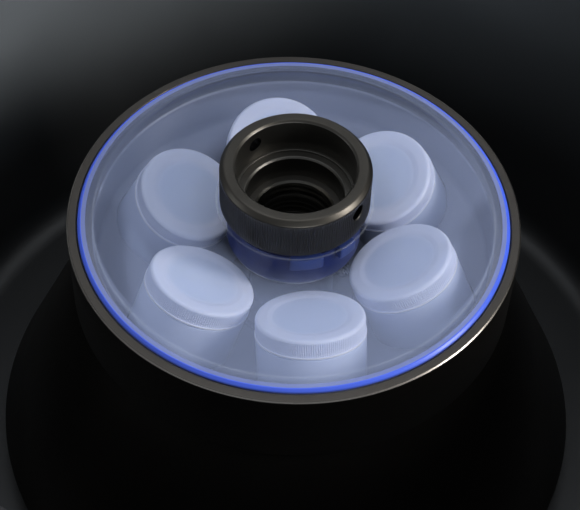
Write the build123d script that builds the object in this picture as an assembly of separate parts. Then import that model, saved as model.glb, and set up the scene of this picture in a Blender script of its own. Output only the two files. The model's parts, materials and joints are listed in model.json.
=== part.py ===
"""Bench-top high-speed centrifuge with a six-place fixed-angle rotor, lid standing open.

Millimetres, +Z up. The origin is on the bench under the rotor axis, +Y points to the back of
the cabinet and the operator stands on the -Y side.
"""
import os
from math import cos, radians, sin, sqrt, tan

from build123d import *

os.makedirs("parts", exist_ok=True)

# Bottles, their pockets and the pitch of the rotor
bottle_count = 6
bottle_tilt = 25.0  # degrees from the rotor axis, tops leaning inwards
first_bottle_angle = 9.7  # degrees past the front, seen from above
bottle_ring_radius = 63.7  # rotor axis to the middle of a cap's top face
bottle_top_drop = 10.7  # middle of a cap's top face below the rotor rim
bottle_radius = 30.6
bottle_length = 125.0  # cap included
bottle_wall = 1.6
bottle_foot_round = 9.0
neck_radius = 27.5
pocket_clearance = 0.6
pocket_depth_clearance = 1.2
bottle_show = 42.0  # length of bottle and cap that stands out of its pocket

# Screw caps
cap_radius = 30.4
cap_height = 10.8
cap_top_thickness = 2.2
cap_flange_radius = 30.9
cap_flange_height = 1.6
cap_edge_round = 2.2
cap_panel_radius = 20.0
cap_panel_depth = 0.8
thread_clearance = 0.3

# Rotor body
rim_radius = 128.0
collar_height = 50.0
collar_undercut = 3.4
skirt_radius = 182.2
rotor_height = 186.0
lid_seat_radius = 122.4
lid_seat_depth = 8.0
bowl_radius = 113.5
hub_flat_radius = 40.0
hub_radius = 26.0
recess_inner_radius = 62.0
recess_outer_radius = 150.0
recess_depth = 30.0

# Clear rotor lid, its seal and its knob
rotor_lid_clearance = 1.0  # beside the lid, in the seat
rotor_lid_proud = 1.9  # rim of the lid above the rim of the rotor
rotor_lid_thickness = 2.4
rotor_lid_crown = 13.0  # top of the lid at the knob, above the rotor rim
rotor_lid_shoulder = 10.1  # top of the lid halfway out
boss_radius = 38.0
boss_drop = 15.0
seal_section = 1.5
seal_gap = 0.3
knob_radius = 41.8
knob_height = 25.0
knob_bore_radius = 33.4
knob_bore_depth = 20.5
knob_step_radius = 27.0
knob_step_depth = 15.0
knob_thread_radius = 22.2
knob_stem_radius = 33.1
knob_stem_play = 0.3
knob_stem_below_boss = 5.0
knob_edge = 1.6
knob_chamfer = 3.0
bar_hole_radius = 4.0
bar_hole_angle = -38.0  # degrees from +X; the second hole is opposite
bar_hole_drop = 11.0

# Hub, tie-down screw and spindle
hub_flange_radius = 38.0
hub_flange_thickness = 6.0
post_radius = 21.9
post_top_drop = 6.0
screw_head_radius = 10.5
screw_head_height = 11.0
screw_shank_radius = 5.8
screw_reach = 28.0
screw_play = 0.3
post_socket_depth = 18.0
taper_top_radius = 11.0
taper_foot_radius = 15.0
taper_length = 62.0
fit_clearance = 0.08
spindle_radius = 12.0
shoulder_radius = 24.0
shoulder_thickness = 4.0
drive_pin_radius = 3.0
drive_pin_height = 8.0
drive_pin_circle = 19.5

# Rotor chamber
chamber_floor_radius = 238.0
chamber_mouth_radius = 252.0
chamber_corner_round = 20.0
chamber_sheet = 2.5
chamber_hole_radius = 34.0
chamber_flange_radius = 268.0
rotor_floor_gap = 16.0
deck_above_rim = 36.0
gasket_width = 13.4
gasket_proud = 6.0
barrier_thickness = 6.0

# Cabinet
cabinet_width = 640.0
cabinet_depth = 720.0
cabinet_wall = 4.0
cabinet_corner = 14.0
foot_height = 22.0
foot_radius = 22.0
foot_inset = 52.0
pan_sheet = 2.0
pan_rim = 18.0
fascia_lean = 42.0  # the deck's front edge behind the foot of the cabinet
fascia_foot_drop = 150.0  # foot of the sloping front below the deck
plenum_depth = 77.0
plenum_height = 34.0

# Lid of the cabinet
lid_open_angle = 88.0
lid_side_gap = 4.0
lid_overhang = 4.0  # lid in front of the deck's edge
lid_rear_gap = 4.0
lid_height = 60.0
lid_front_height = 34.0
lid_wall = 3.5
lid_deck_gap = 1.5
liner_sheet = 3.0
liner_gasket_gap = 0.4
hinge_inset = 58.0  # hinge axis in front of the back
hinge_above_deck = 20.0
hinge_side_inset = 90.0
hinge_slot_width = 44.0
hinge_pin_radius = 6.0
hinge_ear_thickness = 4.0
hinge_knuckle_radius = 12.0
hinge_arm_width = 16.0
hinge_play = 0.5
port_radius = 30.0
port_tube_wall = 3.0
handle_width = 170.0
handle_depth = 15.0
handle_height = 16.0
handle_above_deck = 7.5

# Lid lock
striker_x = 150.0
striker_inset = 28.0  # behind the lid's front
striker_wire = 3.0
striker_width = 26.0
striker_drop = 30.0
latch_shaft_radius = 5.0
latch_shaft_drop = 50.0
latch_shaft_behind = 16.0  # behind the strikers
latch_thickness = 6.0
latch_turn = 30.0

# Control fascia
fascia_width = 520.0
fascia_height = 112.0
fascia_thickness = 5.0
window_width = 196.0
window_height = 66.0
window_x = -130.0
dial_count = 2
dial_pitch = 94.0
dial_x = 78.0
dial_v = 20.0
dial_radius = 17.0
dial_height = 15.0
encoder_shaft_radius = 3.0
button_count = 3
button_width = 44.0
button_height = 13.0
button_pitch = 64.0
button_x = 61.0
button_v = -30.0
button_proud = 3.0
control_gap = 0.4

# Drive motor
motor_mount_height = 22.0
motor_mount_radius = 12.0
motor_mount_circle = 84.0
motor_mount_count = 4
motor_radius = 68.0
motor_height = 104.0
motor_wall = 6.0
motor_fin_count = 12
motor_fin_depth = 10.0
motor_flange_radius = 98.0
motor_flange_thickness = 8.0
end_cap_thickness = 14.0
bearing_radius = 22.0
bearing_height = 12.0
bearing_ball_count = 8
stator_radius = 61.0
stator_bore = 37.0
stator_height = 58.0
air_gap = 0.8

# Rear services
fan_size = 120.0
fan_depth = 25.0
fan_blades = 7
fan_side_inset = 95.0
fan_z = 150.0
rear_frame_width = 30.0
rear_opening_height = 330.0
rear_sheet = 2.0
vent_slot = 3.5
vent_pitch = 9.0
side_vent_inset = 190.0
floor_vent_rear_inset = 115.0
supply_side_inset = 180.0
supply_rear_inset = 30.0
supply_depth = 90.0
supply_width = 112.0
supply_height = 46.0
inlet_side_inset = 115.0
inlet_z = 92.0
switch_side_inset = 62.0
rocker_tilt = 9.0
rocker_length = 21.0
rocker_width = 16.8
rocker_pin_radius = 1.6
rocker_pivot_depth = 1.5
running_clearance = 0.06

# Places worked out from the sizes above
half_width = cabinet_width / 2
half_depth = cabinet_depth / 2
deck_front_y = fascia_lean - half_depth
lid_front_y = deck_front_y - lid_overhang
hinge_y = half_depth - hinge_inset
hinge_x = half_width - hinge_side_inset
striker_y = lid_front_y + striker_inset
fan_x = fan_side_inset - half_width
inlet_x = half_width - inlet_side_inset
switch_x = half_width - switch_side_inset
supply_x = half_width - supply_side_inset
rear_opening_width = cabinet_width - 2 * rear_frame_width
pan_top = foot_height + pan_sheet
motor_foot_z = pan_top + motor_mount_height
motor_top_z = motor_foot_z + motor_height
chamber_floor_z = motor_top_z + end_cap_thickness + 12.0 + chamber_sheet
rim_z = chamber_floor_z + rotor_floor_gap + rotor_height
deck_top = rim_z + deck_above_rim
flange_top = deck_top - cabinet_wall
plenum_front_y = half_depth - plenum_depth
plenum_top = deck_top + plenum_height
hinge_z = deck_top + hinge_above_deck
lid_rear_y = plenum_front_y - lid_rear_gap
liner_z = deck_top + gasket_proud + liner_gasket_gap
rear_inner_y = half_depth - cabinet_wall
barrier_outer_radius = chamber_flange_radius
barrier_inner_radius = barrier_outer_radius - barrier_thickness
hinge_axis = Axis((0, hinge_y, hinge_z), (-1, 0, 0))


# Helpers
def outline(points, rounds=()):
    """A flat face through the points; rounds lists (corner number, radius)."""
    face = make_face(Polyline(*points, close=True))
    for corner, radius in rounds:
        spot = Vector(*points[corner], 0)
        nearest = min(face.vertices(), key=lambda v: (Vector(v) - spot).length)
        face = fillet(nearest, radius)
    return face


def turned(points, rounds=()):
    """A solid of revolution about Z from an outline in (radius, height)."""
    return revolve(Plane.XZ * outline(points, rounds), Axis.Z)


def tube(outer, inner, low, high):
    return turned([(inner, low), (outer, low), (outer, high), (inner, high)])


def rod(radius, low, high, x=0.0, y=0.0):
    return Pos(x, y, low) * Cylinder(
        radius, high - low, align=(Align.CENTER, Align.CENTER, Align.MIN)
    )


def block(low, high):
    """A box between two corners."""
    size = [b - a for a, b in zip(low, high)]
    middle = [(a + b) / 2 for a, b in zip(low, high)]
    return Pos(*middle) * Box(*size)


def ring_of(count, start=0.0):
    """Turns about Z that carry a piece to each of count evenly spaced places."""
    return [Rot(0, 0, start + 360 / count * i) for i in range(count)]


def joined(shapes):
    """Several separate solids as one named piece."""
    return Compound(children=[s for shape in shapes for s in shape.solids()])


# Bottles and caps, drawn with the middle of the cap's top face at the origin
def bottle_plane(number):
    turn = radians(-90 + first_bottle_angle + 360 / bottle_count * number)
    lean = radians(bottle_tilt)
    return Plane(
        origin=(
            bottle_ring_radius * cos(turn),
            bottle_ring_radius * sin(turn),
            rim_z - bottle_top_drop,
        ),
        x_dir=(-sin(turn), cos(turn), 0),
        z_dir=(-sin(lean) * cos(turn), -sin(lean) * sin(turn), cos(lean)),
    )


def bottle():
    mouth = -cap_top_thickness - thread_clearance
    shoulder = -cap_height - thread_clearance
    foot = -bottle_length
    inner = bottle_radius - bottle_wall
    bore = neck_radius - bottle_wall
    return turned(
        [
            (0, foot), (bottle_radius, foot), (bottle_radius, shoulder), (neck_radius, shoulder),
            (neck_radius, mouth), (bore, mouth), (bore, shoulder - bottle_wall),
            (inner, shoulder - 2 * bottle_wall), (inner, foot + bottle_foot_round),
            (inner - bottle_foot_round + bottle_wall, foot + bottle_wall), (0, foot + bottle_wall),
        ],
        [(1, bottle_foot_round)],
    )


def bottle_cap():
    bore = neck_radius + thread_clearance
    flange_top_z = cap_flange_height - cap_height
    return turned(
        [
            (0, -cap_panel_depth), (cap_panel_radius, -cap_panel_depth), (cap_panel_radius + 1.5, 0),
            (cap_radius, 0), (cap_radius, flange_top_z), (cap_flange_radius, flange_top_z),
            (cap_flange_radius, -cap_height), (bore, -cap_height), (bore, -cap_top_thickness),
            (0, -cap_top_thickness),
        ],
        [(3, cap_edge_round)],
    )


def pocket_cutter():
    radius = bottle_radius + pocket_clearance
    foot = -bottle_length - pocket_depth_clearance
    bevel = bottle_foot_round / 2
    return turned([(0, foot), (radius - bevel, foot), (radius, foot + bevel), (radius, 0), (0, 0)])


# Rotor
def bowl_height(radius):
    """Height of the sloping bowl floor, square to the bottle axes, above the rim plane."""
    lean = radians(bottle_tilt)
    mouth_radius = bottle_ring_radius + bottle_show * sin(lean)
    mouth_z = -bottle_top_drop - bottle_show * cos(lean)
    return mouth_z + (radius - mouth_radius) * tan(lean)


def rotor_body():
    skirt_top = rim_radius - collar_undercut
    skirt_edge = 4.0
    recess_z = recess_depth - rotor_height
    body = turned(
        [
            (hub_radius, -rotor_height), (recess_inner_radius, -rotor_height),
            (recess_inner_radius, recess_z), (recess_outer_radius, recess_z),
            (recess_outer_radius + recess_depth / 5, -rotor_height),
            (skirt_radius - skirt_edge / 2, -rotor_height), (skirt_radius, -rotor_height + skirt_edge),
            (skirt_top, -collar_height - 1.5), (rim_radius - 1.2, -collar_height - 1.5),
            (rim_radius, -collar_height), (rim_radius, -1.4), (rim_radius - 1.4, 0),
            (lid_seat_radius, 0), (lid_seat_radius, -lid_seat_depth),
            (bowl_radius, -lid_seat_depth), (bowl_radius, bowl_height(bowl_radius)),
            (hub_flat_radius, bowl_height(hub_flat_radius)), (hub_radius, bowl_height(hub_flat_radius)),
        ]
    )
    body = Pos(0, 0, rim_z) * body
    cutter = pocket_cutter()
    for number in range(bottle_count):
        body -= bottle_plane(number) * cutter
    return body


def rotor_hub():
    flat = bowl_height(hub_flat_radius)
    top = -post_top_drop
    taper_top = taper_length - rotor_height
    hole = screw_shank_radius + screw_play
    seat = top - post_socket_depth
    head_hole = screw_head_radius + 0.6
    shoulder = -knob_foot_drop() - 4.0
    hub = turned(
        [
            (taper_foot_radius, -rotor_height), (hub_radius, -rotor_height), (hub_radius, flat),
            (hub_flange_radius, flat), (hub_flange_radius, flat + hub_flange_thickness),
            (post_radius + 2.5, flat + hub_flange_thickness), (post_radius + 2.5, shoulder),
            (post_radius, shoulder), (post_radius, top - 1), (post_radius - 1, top), (head_hole, top),
            (head_hole, seat), (hole, seat), (hole, taper_top), (taper_top_radius, taper_top),
        ]
    )
    for turn in ring_of(2):
        pin_top = drive_pin_height + 1 - rotor_height
        hub -= turn * rod(drive_pin_radius + 0.3, -rotor_height - 1, pin_top, x=drive_pin_circle)
    return Pos(0, 0, rim_z) * hub


def knob_foot_drop():
    """Drop of the foot of the knob's stem below the rim plane."""
    return boss_drop + knob_stem_below_boss


def tie_down_screw():
    seat = rim_z - post_top_drop - post_socket_depth + 0.05
    foot = rim_z - rotor_height + taper_length - screw_reach
    head = rod(screw_head_radius, seat, seat + screw_head_height)
    head = chamfer(head.edges().filter_by(GeomType.CIRCLE).sort_by(Axis.Z)[-1], 1.0)
    socket = Pos(0, 0, seat + screw_head_height / 3) * extrude(RegularPolygon(5.8, 6), screw_head_height)
    return rod(screw_shank_radius, foot, seat) + head - socket


def lid_arc(lift):
    """The crown of the clear lid, from the knob out to its rim, moved up or down by lift."""
    inner_edge = lid_seat_radius - rotor_lid_clearance - 8.4
    middle = (knob_radius + inner_edge) / 2 + 6.0
    return [
        (knob_radius + 2.5, rotor_lid_crown + lift),
        (middle, rotor_lid_shoulder + lift),
        (inner_edge, rotor_lid_proud + lift),
    ]


def rotor_lid():
    edge = lid_seat_radius - rotor_lid_clearance
    inner_edge = edge - 8.4
    foot = 0.2 - lid_seat_depth
    groove = lid_seat_radius - seal_gap - 2 * seal_section
    seal_z = (foot + rotor_lid_proud) / 2
    start, middle, end = lid_arc(0)
    low_start, low_middle, low_end = lid_arc(-rotor_lid_thickness)
    low_end = (low_end[0] + 0.6, low_end[1])
    section = [
        ThreePointArc(start, middle, end),
        Polyline(
            end, (edge - 1.6, rotor_lid_proud), (edge, rotor_lid_proud - 1.6), (edge, seal_z + seal_section),
            (groove, seal_z + seal_section), (groove, seal_z - seal_section), (edge, seal_z - seal_section),
            (edge, foot), (inner_edge + 0.6, foot), low_end,
        ),
        ThreePointArc(low_end, low_middle, low_start),
        Polyline(
            low_start, (boss_radius + 0.8, low_start[1]), (boss_radius, low_start[1] - 0.8),
            (boss_radius, -boss_drop), (knob_stem_radius + knob_stem_play, -boss_drop),
            (knob_stem_radius + knob_stem_play, rotor_lid_crown), start,
        ),
    ]
    return Pos(0, 0, rim_z) * revolve(Plane.XZ * make_face(section), Axis.Z)


def rotor_lid_seal():
    seal_z = rim_z + (0.2 - lid_seat_depth + rotor_lid_proud) / 2
    centre = lid_seat_radius - seal_gap - seal_section
    ring = Plane.XZ * Pos(centre, seal_z) * Circle(seal_section)
    return revolve(ring, Axis.Z)


def rotor_lid_knob():
    foot = rotor_lid_crown + 0.1
    top = foot + knob_height
    ledge = top - knob_bore_depth
    step = ledge - knob_step_depth
    ring_groove = -boss_drop - 0.3
    knob = turned(
        [
            (knob_thread_radius, -knob_foot_drop()), (knob_stem_radius, -knob_foot_drop()),
            (knob_stem_radius, ring_groove - 1.6), (knob_stem_radius - 1.4, ring_groove - 1.6),
            (knob_stem_radius - 1.4, ring_groove), (knob_stem_radius, ring_groove),
            (knob_stem_radius, foot), (knob_radius - knob_edge, foot), (knob_radius, foot + knob_edge),
            (knob_radius, top - knob_chamfer), (knob_radius - knob_chamfer, top), (knob_bore_radius + 1.2, top),
            (knob_bore_radius, top - 1.2), (knob_bore_radius, ledge), (knob_step_radius, ledge),
            (knob_step_radius, step), (knob_thread_radius, step),
        ]
    )
    hole = Rot(0, 90, 0) * Cylinder(bar_hole_radius, 3 * knob_radius)
    sink = Pos(knob_radius - 1.5, 0, 0) * Rot(0, 90, 0) * Cone(bar_hole_radius, bar_hole_radius + 3.0, 3.0)
    cutter = hole + sink + Rot(0, 0, 180) * sink
    knob -= Pos(0, 0, top - bar_hole_drop) * Rot(0, 0, bar_hole_angle) * cutter
    return Pos(0, 0, rim_z) * knob


def knob_retaining_ring():
    high = rim_z - boss_drop - 0.4
    ring = tube(boss_radius - 1.0, knob_stem_radius - 1.3, high - 1.4, high)
    gap = Pos(boss_radius, 0, high) * Box(2 * boss_radius, 8.0, 10.0)
    return ring - gap


# Drive
def drive_spindle():
    seat = rim_z - rotor_height
    shoulder_top = seat - 0.3
    foot = motor_foot_z + motor_wall + 1.0
    grip = screw_shank_radius + screw_play
    hole_foot = seat + taper_length - screw_reach - 3.0
    tip = seat + taper_length - 0.3
    spindle = turned(
        [
            (0, foot), (spindle_radius - 2, foot), (spindle_radius - 2, foot + bearing_height + 1),
            (spindle_radius, foot + bearing_height + 1), (spindle_radius, shoulder_top - shoulder_thickness),
            (shoulder_radius, shoulder_top - shoulder_thickness), (shoulder_radius, shoulder_top),
            (taper_foot_radius - fit_clearance, shoulder_top), (taper_top_radius - fit_clearance, tip),
            (grip, tip), (grip, hole_foot), (0, hole_foot),
        ]
    )
    for turn in ring_of(2):
        pin_top = shoulder_top + drive_pin_height
        spindle += turn * rod(drive_pin_radius, shoulder_top - 1, pin_top, x=drive_pin_circle)
    return spindle


def motor_housing():
    fin_z = motor_foot_z + motor_flange_thickness
    shell = turned(
        [
            (spindle_radius + 1, motor_foot_z), (motor_flange_radius, motor_foot_z),
            (motor_flange_radius, fin_z), (motor_radius, fin_z), (motor_radius, motor_top_z),
            (motor_radius - motor_wall, motor_top_z), (motor_radius - motor_wall, motor_foot_z + motor_wall + 18),
            (bearing_radius, motor_foot_z + motor_wall + 18), (bearing_radius, motor_foot_z + motor_wall),
            (spindle_radius + 1, motor_foot_z + motor_wall),
        ]
    )
    fin = block(
        (motor_radius - 1, -2.5, fin_z), (motor_radius + motor_fin_depth, 2.5, motor_top_z - 6)
    )
    for turn in ring_of(motor_fin_count):
        shell += turn * fin
    for turn in ring_of(motor_mount_count, 45):
        shell -= turn * rod(4.2, motor_foot_z - 1, fin_z + 1, x=motor_mount_circle)
    return shell


def motor_end_cap():
    top = motor_top_z + end_cap_thickness
    return turned(
        [
            (spindle_radius + 1.2, top - 2), (spindle_radius + 1.2, top), (bearing_radius + 8, top),
            (motor_radius, motor_top_z + 6), (motor_radius, motor_top_z), (bearing_radius, motor_top_z),
            (bearing_radius, top - 2),
        ]
    )


def stator():
    """Slotted iron core with its two ring-shaped winding heads."""
    low = motor_foot_z + motor_wall + 22
    high = low + stator_height
    core = tube(stator_radius, stator_bore, low, high)
    slot = block((stator_bore - 1, -2.2, low - 1), (stator_bore + 15, 2.2, high + 1))
    for turn in ring_of(12):
        core -= turn * slot
    head = turned(
        [(stator_bore + 6, 0), (stator_radius - 4, 0), (stator_radius - 4, 9), (stator_bore + 6, 9)],
        [(2, 3.0), (3, 3.0)],
    )
    return core + Pos(0, 0, high) * head


def armature():
    low = motor_foot_z + motor_wall + 22
    return tube(stator_bore - air_gap, spindle_radius, low, low + stator_height)


def bearing_places():
    """Bore radius and lowest height of the two spindle bearings."""
    return [(spindle_radius - 2, motor_foot_z + motor_wall + 1), (spindle_radius, motor_top_z)]


def bearing_race(bore, low, part):
    """One race of a sealed ball bearing; part is 0 for the inner race and 1 for the outer."""
    wall = (bearing_radius - bore) * 0.3
    high = low + bearing_height
    groove = (low + high) / 2
    face = bore + wall if part == 0 else bearing_radius - wall
    back = bore if part == 0 else bearing_radius
    sink = -wall * 0.4 if part == 0 else wall * 0.4
    return turned([(back, low), (face, low), (face + sink, groove), (face, high), (back, high)])


def bearing_inner_races():
    return joined([bearing_race(bore, low, 0) for bore, low in bearing_places()])


def bearing_outer_races():
    """Outer races of both spindle bearings with the balls that run in them."""
    pieces = [bearing_race(bore, low, 1) for bore, low in bearing_places()]
    for bore, low in bearing_places():
        middle = (bearing_radius + bore) / 2
        radius = (bearing_radius - bore) * 0.2
        ball = Pos(middle, 0, low + bearing_height / 2) * Sphere(radius)
        pieces += [turn * ball for turn in ring_of(bearing_ball_count)]
    return joined(pieces)


def motor_mounts():
    waist = motor_mount_radius - 3
    mount = turned(
        [
            (0, pan_top), (motor_mount_radius, pan_top), (motor_mount_radius, pan_top + 4),
            (waist, pan_top + motor_mount_height / 2), (motor_mount_radius, motor_foot_z - 4),
            (motor_mount_radius, motor_foot_z), (0, motor_foot_z),
        ]
    )
    mount += rod(4.0, motor_foot_z, motor_foot_z + motor_flange_thickness + 7)
    nut_z = motor_foot_z + motor_flange_thickness
    mount += Pos(0, 0, nut_z) * extrude(RegularPolygon(7.0, 6), 6.0)
    return joined([turn * Pos(motor_mount_circle, 0, 0) * mount for turn in ring_of(motor_mount_count, 45)])


def shaft_boot():
    """Ribbed rubber sleeve between the motor and the chamber floor."""
    low = motor_top_z + end_cap_thickness
    high = chamber_floor_z - chamber_sheet
    rise = (high - low) / 4
    inner = bearing_radius + 2
    wall = 2.0
    outer_line = [(inner + wall + 4 * (i % 2), low + rise * i) for i in range(5)]
    inner_line = [(r - wall, z) for r, z in reversed(outer_line)]
    bellows = turned(outer_line + inner_line)
    lip = turned(
        [
            (inner, high), (chamber_hole_radius + 6, high - 0.01), (chamber_hole_radius + 6, high - wall),
            (inner, high - wall),
        ]
    )
    collar = tube(chamber_hole_radius, inner + 2, high - 0.5, high + chamber_sheet + 3)
    bead = tube(chamber_hole_radius + 4, inner + 2, high + chamber_sheet, high + chamber_sheet + 3)
    return bellows + lip + collar + bead


# Chamber
def chamber_bowl():
    floor = chamber_floor_z
    sheet = chamber_sheet
    return turned(
        [
            (chamber_hole_radius, floor - sheet), (chamber_floor_radius + sheet, floor - sheet),
            (chamber_mouth_radius + sheet, flange_top - sheet), (chamber_flange_radius, flange_top - sheet),
            (chamber_flange_radius, flange_top), (chamber_mouth_radius, flange_top),
            (chamber_floor_radius, floor), (chamber_hole_radius, floor),
        ],
        [(1, chamber_corner_round + sheet), (6, chamber_corner_round)],
    )


def chamber_gasket():
    inner = chamber_mouth_radius + 0.6
    outer = inner + gasket_width
    opening = deck_opening_radius() - 0.2
    top = deck_top + gasket_proud
    return turned(
        [
            (inner, flange_top), (opening, flange_top), (opening, deck_top), (outer, deck_top),
            (outer, deck_top + gasket_proud * 0.5), (outer - 4, top), (inner + 3, top), (inner, top - 2.5),
        ],
        [(5, 3.0), (6, 2.0)],
    )


def deck_opening_radius():
    return chamber_mouth_radius + 0.6 + gasket_width * 0.4


def barrier_ring():
    return tube(barrier_outer_radius, barrier_inner_radius, pan_top, flange_top - chamber_sheet)


# Cabinet
def side_outline(foot):
    """The cabinet seen from the side, as (y, z)."""
    half = cabinet_depth / 2
    return outline(
        [
            (-half, foot), (-half, deck_top - fascia_foot_drop), (deck_front_y, deck_top),
            (plenum_front_y, deck_top), (plenum_front_y, plenum_top), (half, plenum_top), (half, foot),
        ],
        [(1, 60.0), (2, 8.0), (4, 8.0), (5, 14.0)],
    )


def side_extrusion(face, half_width, corner):
    body = extrude(Plane.YZ * face, half_width, both=True)
    ends = body.faces().sort_by(Axis.X)
    rims = [e for end in (ends[0], ends[-1]) for e in end.edges()]
    low = min(e.center().Z for e in rims)
    return fillet([e for e in rims if e.center().Z > low + 0.01], corner)


def hinge_pocket(side, grow):
    half = hinge_slot_width / 2 + grow
    return block(
        (side * hinge_x - half, plenum_front_y - 20 - grow, deck_top - grow),
        (side * hinge_x + half, hinge_y + hinge_knuckle_radius + 10 + grow, plenum_top + 20),
    )


def fascia_plane(lift=0.0):
    """Plane of the sloping front, x to the right and y up the slope, lifted off it by lift."""
    run = deck_front_y + cabinet_depth / 2
    rise = fascia_foot_drop
    length = sqrt(run**2 + rise**2)
    normal = (0, -rise / length, run / length)
    middle_y = (deck_front_y - cabinet_depth / 2) / 2
    middle_z = deck_top - fascia_foot_drop / 2
    origin = (0, middle_y + normal[1] * lift, middle_z + normal[2] * lift)
    return Plane(origin=origin, x_dir=(1, 0, 0), z_dir=normal)


def fascia_slab(width, height, low, high, corner, x=0.0, v=0.0):
    """A round-cornered slab on the sloping front, between two distances from it."""
    face = Pos(x, v) * RectangleRounded(width, height, corner)
    return fascia_plane() * (Pos(0, 0, low) * extrude(face, high - low))


def vent_slots(count, pitch, slot, length, depth):
    """A row of upright slots, cut along Y."""
    slots = [
        Pos(pitch * (i - (count - 1) / 2), 0, 0) * Rot(90, 0, 0)
        * extrude(SlotOverall(length, slot, 90), depth, both=True)
        for i in range(count)
    ]
    return joined(slots)


def cabinet_shell():
    outer = side_extrusion(side_outline(foot_height), cabinet_width / 2, cabinet_corner)
    inner_face = offset(side_outline(foot_height - 4 * cabinet_wall), -cabinet_wall)
    inner = side_extrusion(inner_face, cabinet_width / 2 - cabinet_wall, cabinet_corner - cabinet_wall)
    for side in (-1, 1):
        outer -= hinge_pocket(side, 0)
        inner -= hinge_pocket(side, cabinet_wall)
    shell = outer - inner
    shell -= rod(deck_opening_radius(), flange_top - 5, deck_top + 5)
    shell -= fascia_slab(fascia_width + 2, fascia_height + 2, -2.0, 5.0, 8)
    shell -= fascia_slab(fascia_width - 16, fascia_height - 16, -12.0, 5.0, 4)
    for side in (-1, 1):
        shell -= Pos(side * striker_x, striker_y, deck_top) * Box(striker_width + 8, 14, 4 * cabinet_wall)
    rear = block(
        (-rear_opening_width / 2, rear_inner_y - 2, foot_height + 14),
        (rear_opening_width / 2, cabinet_depth / 2 + 5, foot_height + 14 + rear_opening_height),
    )
    shell -= rear
    side_vents = Rot(0, 0, 90) * vent_slots(18, vent_pitch, vent_slot, 90, cabinet_width)
    shell -= Pos(0, half_depth - side_vent_inset, foot_height + 90) * side_vents
    return shell


def base_pan():
    half_w = cabinet_width / 2 - cabinet_wall
    half_d = cabinet_depth / 2 - cabinet_wall
    corner = cabinet_corner - cabinet_wall
    outer = extrude(RectangleRounded(2 * half_w, 2 * half_d, corner + 1), pan_rim)
    inner = extrude(RectangleRounded(2 * (half_w - pan_sheet), 2 * (half_d - pan_sheet), corner), pan_rim)
    tray = Pos(0, 0, foot_height) * (outer - Pos(0, 0, pan_sheet) * inner)
    for x in (-1, 1):
        for y in (-1, 1):
            foot_x = x * (cabinet_width / 2 - foot_inset)
            foot_y = y * (cabinet_depth / 2 - foot_inset)
            tray -= rod(4.2, foot_height - 1, pan_top + 1, foot_x, foot_y)
    slot = extrude(SlotOverall(60, 3.5), pan_sheet * 3, both=True)
    for x in (fan_x, -fan_x):
        for i in range(9):
            tray -= Pos(x, half_depth - floor_vent_rear_inset + vent_pitch * (i - 4), foot_height) * slot
    return tray


def rubber_feet():
    foot = turned(
        [(0, 0), (foot_radius - 3, 0), (foot_radius, 3), (foot_radius - 2, foot_height), (0, foot_height)]
    )
    stud = rod(4.0, foot_height, foot_height + 10)
    nut = Pos(0, 0, pan_top) * extrude(RegularPolygon(7.0, 6), 5.0)
    one = foot + stud + nut
    return joined(
        [
            Pos(x * (cabinet_width / 2 - foot_inset), y * (cabinet_depth / 2 - foot_inset), 0) * one
            for x in (-1, 1) for y in (-1, 1)
        ]
    )


def rear_panel():
    margin = 8.0
    sheet = block(
        (-rear_opening_width / 2 - margin, rear_inner_y - rear_sheet, foot_height + pan_rim + 1),
        (rear_opening_width / 2 + margin, rear_inner_y, foot_height + 14 + rear_opening_height + margin),
    )
    mouth = 0.9 * fan_size
    sheet -= Pos(fan_x, rear_inner_y, fan_z) * vent_slots(12, vent_pitch, vent_slot, mouth, 10)
    vent_z = foot_height + rear_opening_height - 50
    sheet -= Pos(0, rear_inner_y, vent_z) * vent_slots(40, vent_pitch, vent_slot, 60, 10)
    for x, half_width, half_height in ((inlet_x, 14.2, 10.7), (switch_x, 11.2, 14.7)):
        sheet -= block(
            (x - half_width, rear_inner_y - 5, inlet_z - half_height),
            (x + half_width, rear_inner_y + 5, inlet_z + half_height),
        )
    return sheet


def power_inlet():
    """Moulded entry for the mains lead, with the well of the mains switch beside it."""
    face_y = rear_inner_y
    middle = (inlet_x + switch_x) / 2
    width = switch_x - inlet_x + 46
    flange = Pos(middle, face_y, inlet_z) * Rot(-90, 0, 0) * extrude(RectangleRounded(width, 36, 4), 2.5)
    body = block((inlet_x - 14, face_y - 26, inlet_z - 10.5), (inlet_x + 14, face_y + 1, inlet_z + 10.5))
    socket = block((inlet_x - 11.8, face_y - 16, inlet_z - 8.2), (inlet_x + 11.8, face_y + 5, inlet_z + 8.2))
    well = block((switch_x - 11, face_y - 20, inlet_z - 14.5), (switch_x + 11, face_y + 1, inlet_z + 14.5))
    hollow = block((switch_x - 9, face_y - 16, inlet_z - 12.5), (switch_x + 9, face_y + 5, inlet_z + 12.5))
    pivot = Pos(switch_x, face_y - rocker_pivot_depth, inlet_z) * Rot(0, 90, 0)
    hole = pivot * Cylinder(rocker_pin_radius + running_clearance, rocker_width + 4)
    inlet = flange + body + well - socket - hollow - hole
    for dx, dz in ((-7, -1.5), (0, 2.5), (7, -1.5)):
        x = inlet_x + dx
        z = inlet_z + dz
        inlet += block((x - 1, face_y - 17, z - 2.5), (x + 1, face_y - 2, z + 2.5))
    return inlet


def switch_rocker():
    """Mains rocker in its off position, tipped about its pivot."""
    half = rocker_length / 2
    face = outline([(-5, -half), (3.2, -half), (0.4, 0), (3.2, half), (-5, half)])
    rocker = extrude(Plane.YZ * face, rocker_width / 2, both=True)
    rocker += Rot(0, 90, 0) * Cylinder(rocker_pin_radius, rocker_width + 3)
    return Pos(switch_x, rear_inner_y - rocker_pivot_depth, inlet_z) * Rot(rocker_tilt, 0, 0) * rocker


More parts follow.
